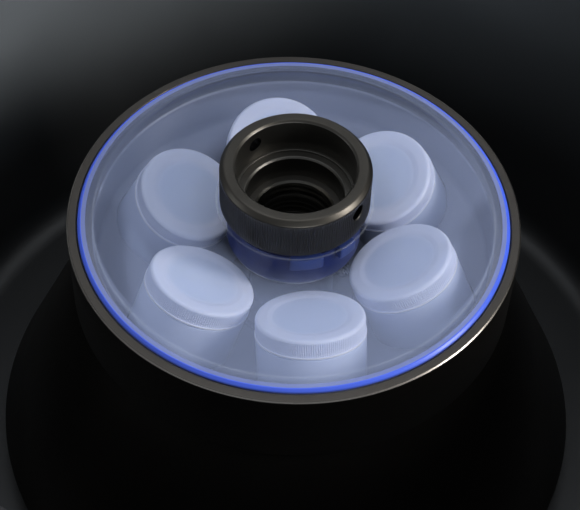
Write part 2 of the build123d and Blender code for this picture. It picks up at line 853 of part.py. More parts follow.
def fan_frame():
    half = fan_size / 2
    face = RectangleRounded(fan_size, fan_size, 8) - Circle(half - 3)
    for x in (-1, 1):
        for y in (-1, 1):
            face -= Pos(x * (half - 7.5), y * (half - 7.5)) * Circle(2.2)
    body = extrude(face, fan_depth)
    spoke = block((-half + 2, -2, 0), (half - 2, 2, 3))
    hub = Cylinder(20, 3, align=(Align.CENTER, Align.CENTER, Align.MIN))
    body += spoke + Rot(0, 0, 90) * spoke + hub
    return fan_place() * body


def fan_place():
    """Fan axis along -Y, with its spoked side against the inside of the rear panel."""
    return Pos(fan_x, rear_inner_y - rear_sheet, fan_z) * Rot(90, 0, 0)


def fan_impeller():
    hub = Pos(0, 0, 4) * Cylinder(19, fan_depth - 6, align=(Align.CENTER, Align.CENTER, Align.MIN))
    blade_reach = fan_size / 2 - 5.5
    blade = Pos((19 + blade_reach) / 2 - 1, 0, 4 + (fan_depth - 6) / 2) * (
        Rot(38, 0, 0) * Box(blade_reach - 17, fan_depth - 2, 1.8)
    )
    wheel = hub
    for turn in ring_of(fan_blades):
        wheel += turn * blade
    return fan_place() * wheel


def power_supply():
    top = pan_top + supply_height
    back = rear_inner_y - supply_rear_inset
    front = back - supply_depth
    case = block((supply_x, front, pan_top), (supply_x + supply_width, back, top))
    slot = SlotOverall(supply_width - 44, 3)
    for i in range(7):
        case -= Pos(supply_x + supply_width / 2, front + 18 + 9 * i, top) * extrude(slot, 3, both=True)
    return case


def inverter_heatsink():
    """Finned plate of the motor drive, standing on the power supply."""
    foot = pan_top + supply_height
    end = supply_x + supply_width
    front = rear_inner_y - supply_rear_inset - supply_depth + 14
    sink = block((supply_x, front + 12, foot), (end, front + 18, foot + 140))
    sink += block((supply_x, front, foot), (end, front + 18, foot + 3))
    for i in range(12):
        z = foot + 8 + i * 11
        sink += block((supply_x + 2, front + 17, z), (end - 2, front + 50, z + 2.4))
    return sink


def lid_outline(foot):
    """The cabinet lid seen from the side, closed, as (y, z)."""
    return outline(
        [
            (lid_front_y, foot), (lid_front_y, deck_top + lid_front_height),
            (lid_front_y + 36, deck_top + lid_height - 3), (0, deck_top + lid_height),
            (lid_rear_y, deck_top + lid_height - 4), (lid_rear_y, foot),
        ],
        [(1, 16.0), (2, 30.0), (4, 12.0)],
    )


def opened(shape):
    """Carries a piece of the cabinet lid from closed to open."""
    return shape.rotate(hinge_axis, lid_open_angle)


def lid_shell():
    half = cabinet_width / 2 - lid_side_gap
    outer = side_extrusion(lid_outline(deck_top + lid_deck_gap), half, cabinet_corner)
    inner_face = offset(lid_outline(deck_top - 3 * lid_wall), -lid_wall)
    inner = side_extrusion(inner_face, half - lid_wall, cabinet_corner - lid_wall)
    shell = outer - inner
    shell -= rod(port_radius + port_tube_wall, deck_top, deck_top + 2 * lid_height)
    return opened(shell)


def lid_liner():
    half = cabinet_width / 2 - lid_side_gap - lid_wall
    front = lid_front_y + lid_wall
    rear = lid_rear_y - lid_wall
    middle = (front + rear) / 2
    corner = cabinet_corner - lid_wall + 2.0
    plate = Pos(0, middle, liner_z) * extrude(RectangleRounded(2 * half, rear - front, corner), liner_sheet)
    bead_radius = chamber_mouth_radius - 22
    bead = turned(
        [
            (bead_radius - 9, liner_z + liner_sheet - 0.1), (bead_radius + 9, liner_z + liner_sheet - 0.1),
            (bead_radius + 5, liner_z + liner_sheet + 5), (bead_radius - 5, liner_z + liner_sheet + 5),
        ]
    )
    groove = turned(
        [
            (bead_radius - 7, liner_z - 1), (bead_radius + 7, liner_z - 1), (bead_radius + 3.5, liner_z + 5),
            (bead_radius - 3.5, liner_z + 5),
        ]
    )
    return opened(plate + bead - groove - rod(port_radius, liner_z - 5, liner_z + 10))


def port_tube():
    low = liner_z + liner_sheet
    high = deck_top + lid_height
    outer = port_radius + port_tube_wall
    tube_wall = turned(
        [
            (outer + 6, low), (outer + 6, low + 3), (outer, low + 3), (outer, high + 0.1), (outer + 4, high + 0.1),
            (outer + 4, high + 1.8), (port_radius, high + 1.8), (port_radius, low + 10), (port_radius - 4, low + 10),
            (port_radius - 4, low),
        ]
    )
    return opened(tube_wall)


def port_window():
    low = liner_z + liner_sheet + 10
    return opened(rod(port_radius - 0.2, low, low + 8))


def lid_handle():
    """Grip bar along the front edge of the lid, hollowed underneath for the fingers."""
    low = deck_top + handle_above_deck
    high = low + handle_height
    y_in = lid_front_y
    y_out = lid_front_y - handle_depth
    profile = outline(
        [(y_in, low), (y_out + 3, low), (y_out, low + 4), (y_out, high - 3), (y_in, high)],
        [(2, 2.0), (3, 5.0)],
    )
    bar = extrude(Plane.YZ * profile, handle_width / 2, both=True)
    scoop = block((-handle_width / 2 + 12, y_out + 4, low - 1), (handle_width / 2 - 12, y_in - 2, low + 8))
    return opened(bar - scoop)


def lid_hinge_arms():
    """Two steel arms screwed inside the lid's rear edge, each ending in a knuckle on its hinge pin."""
    arms = []
    half = hinge_arm_width / 2
    for side in (-1, 1):
        x = side * hinge_x
        knuckle = Pos(x, hinge_y, hinge_z) * Rot(0, 90, 0) * (
            Cylinder(hinge_knuckle_radius, hinge_arm_width)
            - Cylinder(hinge_pin_radius + running_clearance, 2 * hinge_arm_width)
        )
        strap_low = hinge_z - 5
        strap = block((x - half, lid_rear_y, strap_low), (x + half, hinge_y, strap_low + 10))
        strap -= Pos(x, hinge_y, hinge_z) * Rot(0, 90, 0) * Cylinder(hinge_pin_radius + 2, 2 * hinge_arm_width)
        flange = block((x - 16, lid_rear_y, strap_low - 8), (x + 16, lid_rear_y + 2.5, strap_low + 18))
        arms.append(knuckle + strap + flange)
    return opened(joined(arms))


def hinge_brackets():
    """Two forked steel brackets on the deck, each with its hinge pin pressed in."""
    brackets = []
    half = hinge_arm_width / 2 + hinge_play
    ear_face = outline(
        [
            (hinge_y - 14, deck_top), (hinge_y + 14, deck_top), (hinge_y + 12, hinge_z + 10),
            (hinge_y - 12, hinge_z + 10),
        ],
        [(2, 9.0), (3, 9.0)],
    )
    ear = extrude(Plane.YZ * ear_face, hinge_ear_thickness)
    pin_length = 2 * (half + hinge_ear_thickness) + 3
    for side in (-1, 1):
        x = side * hinge_x
        bracket = Pos(x + half, 0, 0) * ear + Pos(x - half - hinge_ear_thickness, 0, 0) * ear
        bracket += block(
            (x - half - hinge_ear_thickness, hinge_y - 14, deck_top),
            (x + half + hinge_ear_thickness, hinge_y + 14, deck_top + 3),
        )
        bracket += Pos(x, hinge_y, hinge_z) * Rot(0, 90, 0) * Cylinder(hinge_pin_radius, pin_length)
        brackets.append(bracket)
    return joined(brackets)


def lid_strikers():
    """Two steel loops under the lid's front edge that the lock hooks catch."""
    loops = []
    top = liner_z
    low = liner_z - striker_drop
    for side in (-1, 1):
        x = side * striker_x
        leg = striker_width / 2 - striker_wire
        bar = Pos(x, striker_y, low + striker_wire) * Rot(0, 90, 0) * Cylinder(striker_wire, striker_width)
        plate = block((x - 22, striker_y - 8, top - 2.5), (x + 22, striker_y + 8, top))
        loop = bar + plate
        for place in (x - leg, x + leg):
            loop += rod(striker_wire, low + striker_wire, top, place, striker_y)
        loops.append(loop)
    return opened(joined(loops))


def latch_axis():
    """Depth and height of the cross shaft."""
    return striker_y + latch_shaft_behind, deck_top - latch_shaft_drop


def latch_bar():
    """Cross shaft with a hook at each end, turned back to stand clear of the strikers."""
    length = 2 * striker_x + 34
    bar = Rot(0, 90, 0) * Cylinder(latch_shaft_radius, length)
    bar_y = -latch_shaft_behind
    bar_z = liner_z - striker_drop + striker_wire - latch_axis()[1]
    under = bar_z + striker_wire + 0.4
    front = bar_y - striker_wire - 1.5
    back = bar_y + striker_wire + 1.5
    hook_face = outline(
        [
            (-8, -8), (8, -8), (5, 18), (back + 8, under + 4), (front + 3, under + 4), (front, under - 1),
            (front + 2, under), (back, under), (back, bar_z - 6), (-5, 10),
        ],
        [(0, 6.0), (1, 6.0), (3, 4.0)],
    )
    hook = extrude(Plane.YZ * hook_face, latch_thickness / 2, both=True)
    for side in (-1, 1):
        bar += Pos(side * striker_x, 0, 0) * hook
    bar += block((-3, 0, -16), (3, 6, 4))
    return Pos(0, *latch_axis()) * Rot(-latch_turn, 0, 0) * bar


def latch_frame():
    """Steel bracket under the deck with the ears of the cross shaft and the lock's motor."""
    shaft_y, shaft_z = latch_axis()
    reach = striker_x + 24
    ear = extrude(
        Plane.YZ
        * outline(
            [
                (shaft_y - 10, shaft_z - 10), (shaft_y + 10, shaft_z - 10), (shaft_y + 10, flange_top),
                (shaft_y - 24, flange_top), (shaft_y - 24, flange_top - 14),
            ],
            [(0, 6.0), (1, 6.0)],
        ),
        3.0,
    )
    ear -= Pos(0, shaft_y, shaft_z) * Rot(0, 90, 0) * Cylinder(latch_shaft_radius + running_clearance, 50)
    frame = Pos(-reach, 0, 0) * ear + Pos(reach - 3, 0, 0) * ear
    frame += block((-reach, shaft_y - 24, flange_top - 2.5), (reach, shaft_y - 14, flange_top))
    for side in (-1, 1):
        x = side * striker_x
        half = striker_width / 2 + 4
        frame -= block((x - half, shaft_y - 40, flange_top - 5), (x + half, shaft_y, flange_top + 1))
        frame += block((x - half - 1, shaft_y - 24, flange_top - 14), (x + half + 1, shaft_y - 22.6, flange_top))
    can = Pos(48, shaft_y - 12, flange_top - 15) * Rot(0, 90, 0) * Cylinder(11, 44)
    strap = block((26, shaft_y - 23, flange_top - 16), (70, shaft_y - 16, flange_top - 1))
    return frame + can + strap


# Controls
def control_fascia():
    plate = fascia_slab(fascia_width, fascia_height, -2.0, fascia_thickness - 2.0, 7)
    plate -= fascia_slab(window_width, window_height, -8.0, 9.0, 3, x=window_x)
    for i in range(dial_count):
        hole = Pos(dial_x + dial_pitch * i, dial_v) * Circle(4.2)
        plate -= fascia_plane() * (Pos(0, 0, -8) * extrude(hole, 20))
    for i in range(button_count):
        plate -= fascia_slab(
            button_width + 2 * control_gap, button_height + 2 * control_gap, -8.0, 9.0, 4,
            x=button_x + button_pitch * i, v=button_v,
        )
    return plate


def display_window():
    return fascia_slab(window_width - 0.2, window_height - 0.2, 0.4, 2.4, 3, x=window_x)


def display_module():
    """Display with its raised active area, behind the window."""
    base = fascia_slab(window_width + 10, window_height + 14, -12.0, -2.0, 2, x=window_x)
    face = fascia_slab(window_width - 12, window_height - 10, -2.0, 0.2, 1, x=window_x)
    return base + face


def control_board():
    middle = dial_x + dial_pitch / 2
    board = fascia_slab(210, 92, -15.0, -13.4, 2, x=middle)
    for i in range(dial_count):
        body = Pos(dial_x + dial_pitch * i, dial_v) * RectangleRounded(14, 14, 1)
        board += fascia_plane() * (Pos(0, 0, -13.5) * extrude(body, 7.5))
        shaft = Pos(dial_x + dial_pitch * i, dial_v) * Circle(encoder_shaft_radius)
        board += fascia_plane() * (Pos(0, 0, -6.5) * extrude(shaft, 15.0))
    for i in range(button_count):
        body = Pos(button_x + button_pitch * i, button_v) * RectangleRounded(10, 8, 1)
        board += fascia_plane() * (Pos(0, 0, -13.5) * extrude(body, 7.9))
    posts = [(-97, -38), (97, -38), (-97, 38), (97, 38)]
    for u, v in posts:
        post = Pos(middle + u, v) * Circle(3)
        board += fascia_plane() * (Pos(0, 0, -13.5) * extrude(post, 11.5))
    return board


def dial(number):
    on_foot = (Align.CENTER, Align.CENTER, Align.MIN)
    knob = Cylinder(dial_radius, dial_height - 3, align=on_foot)
    knob += Cylinder(dial_radius + 1.5, 2.0, align=on_foot)
    crown = Pos(0, 0, dial_height - 3) * Cone(dial_radius - 1, dial_radius - 3, 3, align=on_foot)
    mark = Pos(0, dial_radius - 7, dial_height) * Box(1.6, 8, 1.2)
    bore = Cylinder(encoder_shaft_radius + running_clearance, 2 * (dial_height - 5))
    place = fascia_plane(fascia_thickness - 2.0 + control_gap) * Pos(dial_x + dial_pitch * number, dial_v, 0)
    return place * (knob + crown - mark - bore)


def push_button(number):
    cap = fascia_slab(
        button_width, button_height, -1.0, fascia_thickness - 2.0 + button_proud, 4,
        x=button_x + button_pitch * number, v=button_v,
    )
    skirt = fascia_slab(
        button_width + 4, button_height + 4, -4.0, -2.4, 3, x=button_x + button_pitch * number, v=button_v,
    )
    bridge = fascia_slab(
        button_width, button_height, -3.0, -0.9, 4, x=button_x + button_pitch * number, v=button_v,
    )
    return cap + skirt + bridge


pieces = {
    "base_pan": base_pan,
    "rubber_feet": rubber_feet,
    "cabinet_shell": cabinet_shell,
    "rear_panel": rear_panel,
    "chamber_bowl": chamber_bowl,
    "chamber_gasket": chamber_gasket,
    "barrier_ring": barrier_ring,
    "shaft_boot": shaft_boot,
    "motor_mounts": motor_mounts,
    "motor_housing": motor_housing,
    "motor_end_cap": motor_end_cap,
    "stator": stator,
    "armature": armature,
    "bearing_outer_races": bearing_outer_races,
    "bearing_inner_races": bearing_inner_races,
    "drive_spindle": drive_spindle,
    "power_supply": power_supply,
    "inverter_heatsink": inverter_heatsink,
    "fan_frame": fan_frame,
    "fan_impeller": fan_impeller,
    "power_inlet": power_inlet,
    "switch_rocker": switch_rocker,
    "latch_frame": latch_frame,
    "latch_bar": latch_bar,
    "hinge_brackets": hinge_brackets,
    "control_fascia": control_fascia,
    "display_window": display_window,
    "display_module": display_module,
    "control_board": control_board,
    "lid_shell": lid_shell,
    "lid_liner": lid_liner,
    "port_tube": port_tube,
    "port_window": port_window,
    "lid_handle": lid_handle,
    "lid_hinge_arms": lid_hinge_arms,
    "lid_strikers": lid_strikers,
    "rotor_body": rotor_body,
    "rotor_hub": rotor_hub,
    "tie_down_screw": tie_down_screw,
    "rotor_lid": rotor_lid,
    "rotor_lid_seal": rotor_lid_seal,
    "rotor_lid_knob": rotor_lid_knob,
    "knob_retaining_ring": knob_retaining_ring,
}

for name, make in pieces.items():
    export_step(make(), f"parts/{name}.step")
for number, name in enumerate(["speed_dial", "time_dial"]):
    export_step(dial(number), f"parts/{name}.step")
for number, name in enumerate(["lid_button", "start_button", "stop_button"]):
    export_step(push_button(number), f"parts/{name}.step")
one_bottle = bottle()
one_cap = bottle_cap()
for number in range(bottle_count):
    export_step(bottle_plane(number) * one_bottle, f"parts/bottle_{number + 1}.step")
    export_step(bottle_plane(number) * one_cap, f"parts/bottle_cap_{number + 1}.step")
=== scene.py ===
import json
import math
import bmesh
import bpy
import numpy as np
from mathutils import Matrix, Vector


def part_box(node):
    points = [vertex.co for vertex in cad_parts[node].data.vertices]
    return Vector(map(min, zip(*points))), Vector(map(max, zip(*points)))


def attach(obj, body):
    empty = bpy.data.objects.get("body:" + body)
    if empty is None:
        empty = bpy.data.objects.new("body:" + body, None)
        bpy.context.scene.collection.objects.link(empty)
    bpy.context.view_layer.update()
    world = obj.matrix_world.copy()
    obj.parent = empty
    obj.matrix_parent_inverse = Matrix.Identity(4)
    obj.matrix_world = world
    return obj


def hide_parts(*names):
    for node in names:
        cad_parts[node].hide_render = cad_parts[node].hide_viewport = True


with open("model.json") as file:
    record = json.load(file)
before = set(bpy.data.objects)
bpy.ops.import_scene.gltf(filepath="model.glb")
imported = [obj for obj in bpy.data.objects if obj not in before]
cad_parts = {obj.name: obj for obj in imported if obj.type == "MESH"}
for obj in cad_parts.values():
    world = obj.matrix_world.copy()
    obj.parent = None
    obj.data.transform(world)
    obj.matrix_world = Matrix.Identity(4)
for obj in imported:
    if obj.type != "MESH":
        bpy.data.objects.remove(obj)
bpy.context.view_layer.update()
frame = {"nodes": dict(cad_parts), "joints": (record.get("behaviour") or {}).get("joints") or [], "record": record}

nodes = frame["nodes"]
jointAt = {joint["name"]: joint for joint in frame["joints"]}
mm = 0.001
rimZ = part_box("rotor_body")[1].z  # top face of the rotor's rim
lift = rimZ / mm  # the same in millimetres: pieces of the rotor are drawn from that plane
sharpAngle = 32.0  # degrees past which an edge is shaded sharp
print("frame loaded:", len(nodes), "nodes")


# the dictionary of a piece's values, which are also read as attributes
class Values(dict):
    __getattr__ = dict.__getitem__


# ---- camera of the photograph, in millimetres from the middle of the rim plane
cameraUser = Values(
    place=(-1.5, -581.7, 678.6), pitch=50.887, roll=2.235, focal=1583.2, photoWidth=580, sensor=36.0,
)


def makeCamera(user):
    data = bpy.data.cameras.new("photo_camera")
    data.sensor_width = user.sensor
    data.lens = user.focal / user.photoWidth * user.sensor
    data.clip_start, data.clip_end = 0.05, 60.0
    pitch, roll = math.radians(user.pitch), math.radians(user.roll)
    forward = Vector((0, math.cos(pitch), -math.sin(pitch)))
    right = Vector((1, 0, 0))
    up = right.cross(forward)
    rightRolled = math.cos(roll) * right + math.sin(roll) * up
    upRolled = -math.sin(roll) * right + math.cos(roll) * up
    turn = Matrix((rightRolled, upRolled, -forward)).transposed()
    camera = bpy.data.objects.new("photo_camera", data)
    camera.matrix_world = Matrix.Translation(Vector(user.place) * mm + Vector((0, 0, rimZ))) @ turn.to_4x4()
    bpy.context.scene.collection.objects.link(camera)
    bpy.context.scene.camera = camera


makeCamera(cameraUser)


# ---- shader maths as expressions: a Field wraps a socket, and + - * / on it add Math nodes
class Field:
    def __init__(self, tree, socket=None):
        self.tree = tree
        self.socket = socket

    # any node: its type, its settings, then values or links for its sockets
    def node(self, kind, settings=None, inputs=None, output=0):
        made = self.tree.nodes.new(kind)
        for key, value in (settings or {}).items():
            setattr(made, key, value)
        for key, value in (inputs or {}).items():
            if isinstance(value, Field):
                self.tree.links.new(value.socket, made.inputs[key])
            else:
                made.inputs[key].default_value = value
        return Field(self.tree, made.outputs[output])

    def math(self, operation, *others):
        return self.node("ShaderNodeMath", {"operation": operation}, dict(enumerate((self, *others))))

    # the same with the other value first
    def reflected(self, operation, other):
        return self.node("ShaderNodeMath", {"operation": operation}, {0: other, 1: self})

    def __add__(self, other):
        return self.math("ADD", other)

    def __sub__(self, other):
        return self.math("SUBTRACT", other)

    def __mul__(self, other):
        return self.math("MULTIPLY", other)

    def __truediv__(self, other):
        return self.math("DIVIDE", other)

    def __rsub__(self, other):
        return self.reflected("SUBTRACT", other)

    def __rtruediv__(self, other):
        return self.reflected("DIVIDE", other)

    __radd__, __rmul__ = __add__, __mul__

    # 0 below low, 1 above high, smooth between
    def step(self, low, high):
        inputs = {"Value": self, "From Min": low, "From Max": high}
        return self.node("ShaderNodeMapRange", {"interpolation_type": "SMOOTHSTEP"}, inputs)

    # 1 inside low..high with soft edges of the given width
    def band(self, low, high, soft):
        return self.step(low - soft, low + soft) * (1.0 - self.step(high - soft, high + soft))

    # colour mix: self is the factor
    def blend(self, first, second):
        inputs = {"Factor": self}
        for slot, colour in ((6, first), (7, second)):
            inputs[slot] = colour if isinstance(colour, Field) else (*colour, 1.0)
        return self.node("ShaderNodeMix", {"data_type": "RGBA", "clamp_factor": True}, inputs, output=2)


# one material: its principled shader, object coordinates in metres and helpers for patterns
class Finish:
    def __init__(self, name, **uniform):
        self.material = bpy.data.materials.new(name)
        self.material.use_nodes = True
        self.tree = self.material.node_tree
        self.shader = self.tree.nodes["Principled BSDF"]
        self.place = Field(self.tree).node("ShaderNodeTexCoord", output="Object")
        for key, value in uniform.items():
            self.shader.inputs[key.replace("_", " ")].default_value = value

    def axes(self):
        split = self.place.node("ShaderNodeSeparateXYZ", None, {0: self.place})
        return [Field(self.tree, socket) for socket in split.socket.node.outputs]

    # distance from the rotor axis, in metres
    def radius(self):
        x, y, _ = self.axes()
        return (x * x + y * y).math("SQRT")

    # 0 to 1 in rings round the rotor axis: the sine of r + 0.7 z times the pitch
    def rings(self, pitch):
        return ((self.radius() + self.axes()[2] * 0.7) * pitch).math("SINE") * 0.5 + 0.5

    def noise(self, scale, detail=3.0, rough=0.55, stretch=None):
        place = self.place
        if stretch:
            place = place.node("ShaderNodeMapping", None, {"Vector": place, "Scale": stretch})
        inputs = {"Vector": place, "Scale": scale, "Detail": detail, "Roughness": rough}
        return place.node("ShaderNodeTexNoise", None, inputs)

    def feed(self, socket, value):
        self.tree.links.new(value.socket, self.shader.inputs[socket])

    # what every finish varies: its colour, its roughness and a bump of the given height field
    def paint(self, colour, rough, height, distance, strength=0.5):
        self.feed("Base Color", colour)
        self.feed("Roughness", rough)
        inputs = {"Strength": strength, "Distance": distance, "Height": height}
        self.feed("Normal", height.node("ShaderNodeBump", None, inputs))
        return self.material


def shaded(colour, share):
    return tuple(c * share for c in colour)


# moulded, painted or cast surface: two shades in soft clouds, fine grain in bump and roughness
def grainedFinish(name, colour, rough, clouds=9.0, grain=900.0, shade=0.86, relief=0.0002, metallic=0.0,
                  coat=0.0):
    finish = Finish(name, Metallic=metallic, Coat_Weight=coat)
    clouds, grain = finish.noise(clouds, 4.0), finish.noise(grain, 2.0, 0.6)
    return finish.paint(
        clouds.step(0.35, 0.7).blend(colour, shaded(colour, shade)),
        clouds * 0.12 + grain * 0.06 + (rough - 0.09), grain + clouds * 0.15, relief,
    )


# metal turned on a lathe: fine rings round the rotor axis in bump and roughness, faint clouds
def turnedFinish(name, colour, rough, clouds=30.0, pitch=9000.0, ringRough=0.04):
    finish = Finish(name, Metallic=1.0)
    rings, clouds, speck = finish.rings(pitch), finish.noise(clouds, 4.0), finish.noise(1400.0, 2.0)
    return finish.paint(
        clouds.step(0.3, 0.75).blend(colour, shaded(colour, 0.8)),
        clouds * 0.12 + rings * ringRough + (rough - 0.07), rings * 0.6 + speck * 0.5, 0.00002,
    )


# sheet metal brushed along one axis
def brushedFinish(name, colour, rough, stretch=(2.0, 240.0, 240.0)):
    finish = Finish(name, Metallic=1.0)
    streaks, clouds = finish.noise(6.0, 6.0, 0.7, stretch), finish.noise(14.0, 4.0)
    return finish.paint(
        (streaks * 0.6 + clouds * 0.4).blend(shaded(colour, 0.78), colour),
        streaks * 0.16 + clouds * 0.1 + (rough - 0.12), streaks, 0.00006, 0.6,
    )


# zinc-plated sheet: large angular spangles
def spangleFinish(name, colour, rough):
    finish = Finish(name, Metallic=1.0)
    spangle = finish.place.node("ShaderNodeTexVoronoi", None, {"Vector": finish.place, "Scale": 90.0})
    grain = finish.noise(500.0)
    return finish.paint(
        spangle.blend(shaded(colour, 0.82), colour),
        spangle * 0.2 + grain * 0.1 + (rough - 0.15), grain + spangle * 0.3, 0.00005,
    )


print("shader helpers ready")


# ---- surfaces, worked out in millimetres and put into metres at the end

# an outline whose listed corners are replaced by arcs: rounds maps a corner's number to its radius
def rounded(points, rounds=(), steps=5):
    rounds = dict(rounds)
    corners = [np.array(p, float) for p in points]
    line = []
    for i, corner in enumerate(corners):
        if i not in rounds:
            line.append(corner)
            continue
        before = corners[i - 1] - corner
        after = corners[(i + 1) % len(corners)] - corner
        before, after = before / np.hypot(*before), after / np.hypot(*after)
        half = math.acos(np.clip(before @ after, -1, 1)) / 2
        middle = corner + (before + after) / np.hypot(*(before + after)) * rounds[i] / math.sin(half)
        first = corner + before * rounds[i] / math.tan(half) - middle
        last = corner + after * rounds[i] / math.tan(half) - middle
        sweep = math.pi - 2 * half
        share = np.linspace(0, 1, steps + 1)[:, None]
        arc = first * np.sin((1 - share) * sweep) + last * np.sin(share * sweep)
        line.extend(middle + arc / math.sin(sweep))
    return np.array(line)


# count points of the circle through a, b and c, from a to c
def arcThrough(a, b, c, count):
    a, b, c = (np.array(p, float) for p in (a, b, c))
    centre = np.linalg.solve(2 * np.array((b - a, c - a)), np.array((b @ b - a @ a, c @ c - a @ a)))
    start = math.atan2(*(a - centre)[::-1])
    end = math.atan2(*(c - centre)[::-1])
    turn = np.linspace(start, end, count)
    return centre + np.hypot(*(a - centre)) * np.stack((np.cos(turn), np.sin(turn)), 1)


# points added along the stretches that lie between low and high, so that none of these is longer than reach
def denser(line, low, high, reach):
    result = [line[0]]
    for a, b in zip(line[:-1], line[1:]):
        inside = low <= min(a[1], b[1]) and max(a[1], b[1]) <= high
        parts = max(1, math.ceil(np.hypot(*(b - a)) / reach)) if inside else 1
        result.extend(a + (b - a) * (k + 1) / parts for k in range(parts))
    return np.array(result)


# doubles merged, normals outwards, smooth faces with sharp edges past the given angle
def tidyMesh(mesh, sharp=sharpAngle):
    work = bmesh.new()
    work.from_mesh(mesh)
    bmesh.ops.remove_doubles(work, verts=work.verts, dist=2e-6)
    bmesh.ops.recalc_face_normals(work, faces=work.faces)
    work.to_mesh(mesh)
    work.free()
    mesh.polygons.foreach_set("use_smooth", np.ones(len(mesh.polygons), bool))
    mesh.set_sharp_from_angle(angle=math.radians(sharp))


# the mesh as an object: on its body, in its slot and in place of the CAD nodes named last
def addPiece(mesh, finish=None, body=None, replaces=()):
    piece = bpy.data.objects.new(mesh.name, mesh)
    bpy.context.scene.collection.objects.link(piece)
    if finish:
        mesh.materials.clear()
        mesh.materials.append(finish)
    if body:
        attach(piece, body)
    if replaces:
        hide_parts(*replaces)
    return piece


# mesh of a grid of points: neighbours along both directions are joined by four-sided faces,
# and rows may hold several equal copies, each closed by itself
def gridMesh(name, x, y, z, wrap=(True, True), sharp=sharpAngle, copies=1):
    rows, columns = x.shape
    each = rows // copies
    corners = np.stack((x, y, z), -1).reshape(-1, 3) * mm
    u = np.arange(rows).reshape(copies, each)[:, : each if wrap[0] else each - 1].reshape(-1, 1)
    v = np.arange(columns if wrap[1] else columns - 1)[None, :]
    u2, v2 = u // each * each + (u % each + 1) % each, (v + 1) % columns
    quads = np.stack(
        np.broadcast_arrays(u * columns + v, u2 * columns + v, u2 * columns + v2, u * columns + v2), -1
    )
    mesh = bpy.data.meshes.new(name)
    mesh.from_pydata(corners.tolist(), [], quads.reshape(-1, 4).tolist())
    tidyMesh(mesh, sharp)
    return mesh


# closed outline (r, z) carried round the axis: x = r cos a, y = r sin a; ripple may change r and z first,
# and place is one 4 x 4 matrix in millimetres, or a list of them, that sets the result down
def turnedMesh(name, outline, count, lift=0.0, ripple=None, place=None, sharp=sharpAngle):
    shape = (count, len(outline))
    angle = np.broadcast_to(np.linspace(0, 2 * math.pi, count, endpoint=False)[:, None], shape)
    r, z = np.broadcast_to(outline[:, 0], shape), np.broadcast_to(outline[:, 1], shape)
    if ripple:
        r, z = ripple(r, z, angle)
    spots = np.stack((r * np.cos(angle), r * np.sin(angle), z + lift, np.ones(shape)), -1)
    copies = 1
    if place is not None:
        matrices = np.array(place).reshape(-1, 4, 4)
        copies = len(matrices)
        spots = np.concatenate([spots @ matrix.T for matrix in matrices])
    return gridMesh(name, spots[..., 0], spots[..., 1], spots[..., 2], sharp=sharp, copies=copies)


# closed ring sector with rounded ends: outline (r, z) carried from one angle to another, in degrees
def sectorMesh(name, outline, start, end, count, lift=0.0):
    middle = outline.mean(0)
    turn = np.concatenate(((start, start), np.linspace(start + 1.0, end - 1.0, count), (end, end)))
    grow = np.concatenate(((0.0, 0.88), np.ones(count), (0.88, 0.0)))
    r = middle[0] + (outline[None, :, 0] - middle[0]) * grow[:, None]
    z = middle[1] + (outline[None, :, 1] - middle[1]) * grow[:, None] + lift
    angle = np.radians(turn)[:, None]
    return gridMesh(name, r * np.cos(angle), r * np.sin(angle), z, wrap=(False, True))


# flat outlines (x, y) given a thickness: for each, a lower face, an upper face and a wall between them
def slabsMesh(name, slabs, thick):
    corners, faces, first = [], [], 0
    for outline, place in slabs:
        count = len(outline)
        layers = [np.column_stack((outline, np.full(count, z), np.ones(count))) for z in (0.0, thick)]
        corners.append((np.concatenate(layers) @ place.T)[:, :3] * mm)
        low = np.arange(count)
        after = (low + 1) % count
        faces.extend([(first + low[::-1]).tolist(), (first + count + low).tolist()])
        faces.extend((first + np.stack((low, after, after + count, low + count), 1)).tolist())
        first += 2 * count
    mesh = bpy.data.meshes.new(name)
    mesh.from_pydata(np.concatenate(corners).tolist(), [], faces)
    tidyMesh(mesh, 30.0)
    return mesh


# piece minus the cutters, which are deleted
def cutAway(piece, cutters):
    for cutter in cutters:
        modifier = piece.modifiers.new("cut", "BOOLEAN")
        modifier.operation = "DIFFERENCE"
        modifier.solver = "EXACT"
        modifier.object = cutter
    whole = piece.evaluated_get(bpy.context.evaluated_depsgraph_get())
    mesh = bpy.data.meshes.new_from_object(whole)
    mesh.name = piece.data.name
    piece.modifiers.clear()
    piece.data = mesh
    for cutter in cutters:
        bpy.data.objects.remove(cutter)
    tidyMesh(mesh)


# 1 between low and high, falling to 0 over the given fade
def within(value, low, high, fade):
    rise = np.clip((value - low) / fade, 0, 1)
    fall = np.clip((high - value) / fade, 0, 1)
    return rise * fall


# sawtooth of straight slopes: 1 at each whole turn, 0 halfway
def ridge(turns):
    return np.abs((turns % 1.0) * 2 - 1)


# 4 x 4 matrix of a place, from its three axes and its origin in millimetres
def placeOf(across, along, out, origin):
    place = np.eye(4)
    place[:3] = np.stack((across, along, out, origin), 1)
    return place


print("surface helpers ready")


# ---- rotor
rotorUser = Values(
    colour=(0.095, 0.086, 0.077), bowlColour=(0.17, 0.19, 0.26), edgeColour=(0.42, 0.39, 0.35), rough=0.34,
    segments=512, rim=128.0, chamfer=0.9, collar=50.0, undercut=3.4, skirt=182.2, height=186.0, seat=122.4,
    seatDepth=8.0, bowl=113.5, hub=26.0, flat=40.0, recess=(62.0, 150.0, 156.0), recessHeight=30.0,
)
# heights are those below the cap's top, and the ring and the drop say where that top's middle is
bottleUser = Values(
    # top and foot are the bottle's colours at the rim plane and deep down: the darker foot is painted shade
    top=(0.62, 0.71, 0.97), foot=(0.19, 0.23, 0.38), rough=0.38, fade=62.0, segments=128,
    tilt=25.0, radius=30.6, length=125.0, corner=9.0, neck=27.5, wall=1.6, mouth=2.5, neckFoot=11.1,
    shoulder=11.4, inside=(12.7, 13.2), show=42.0, ring=63.7, drop=10.7, pocketPlay=0.6, pocketFloor=1.2,
)
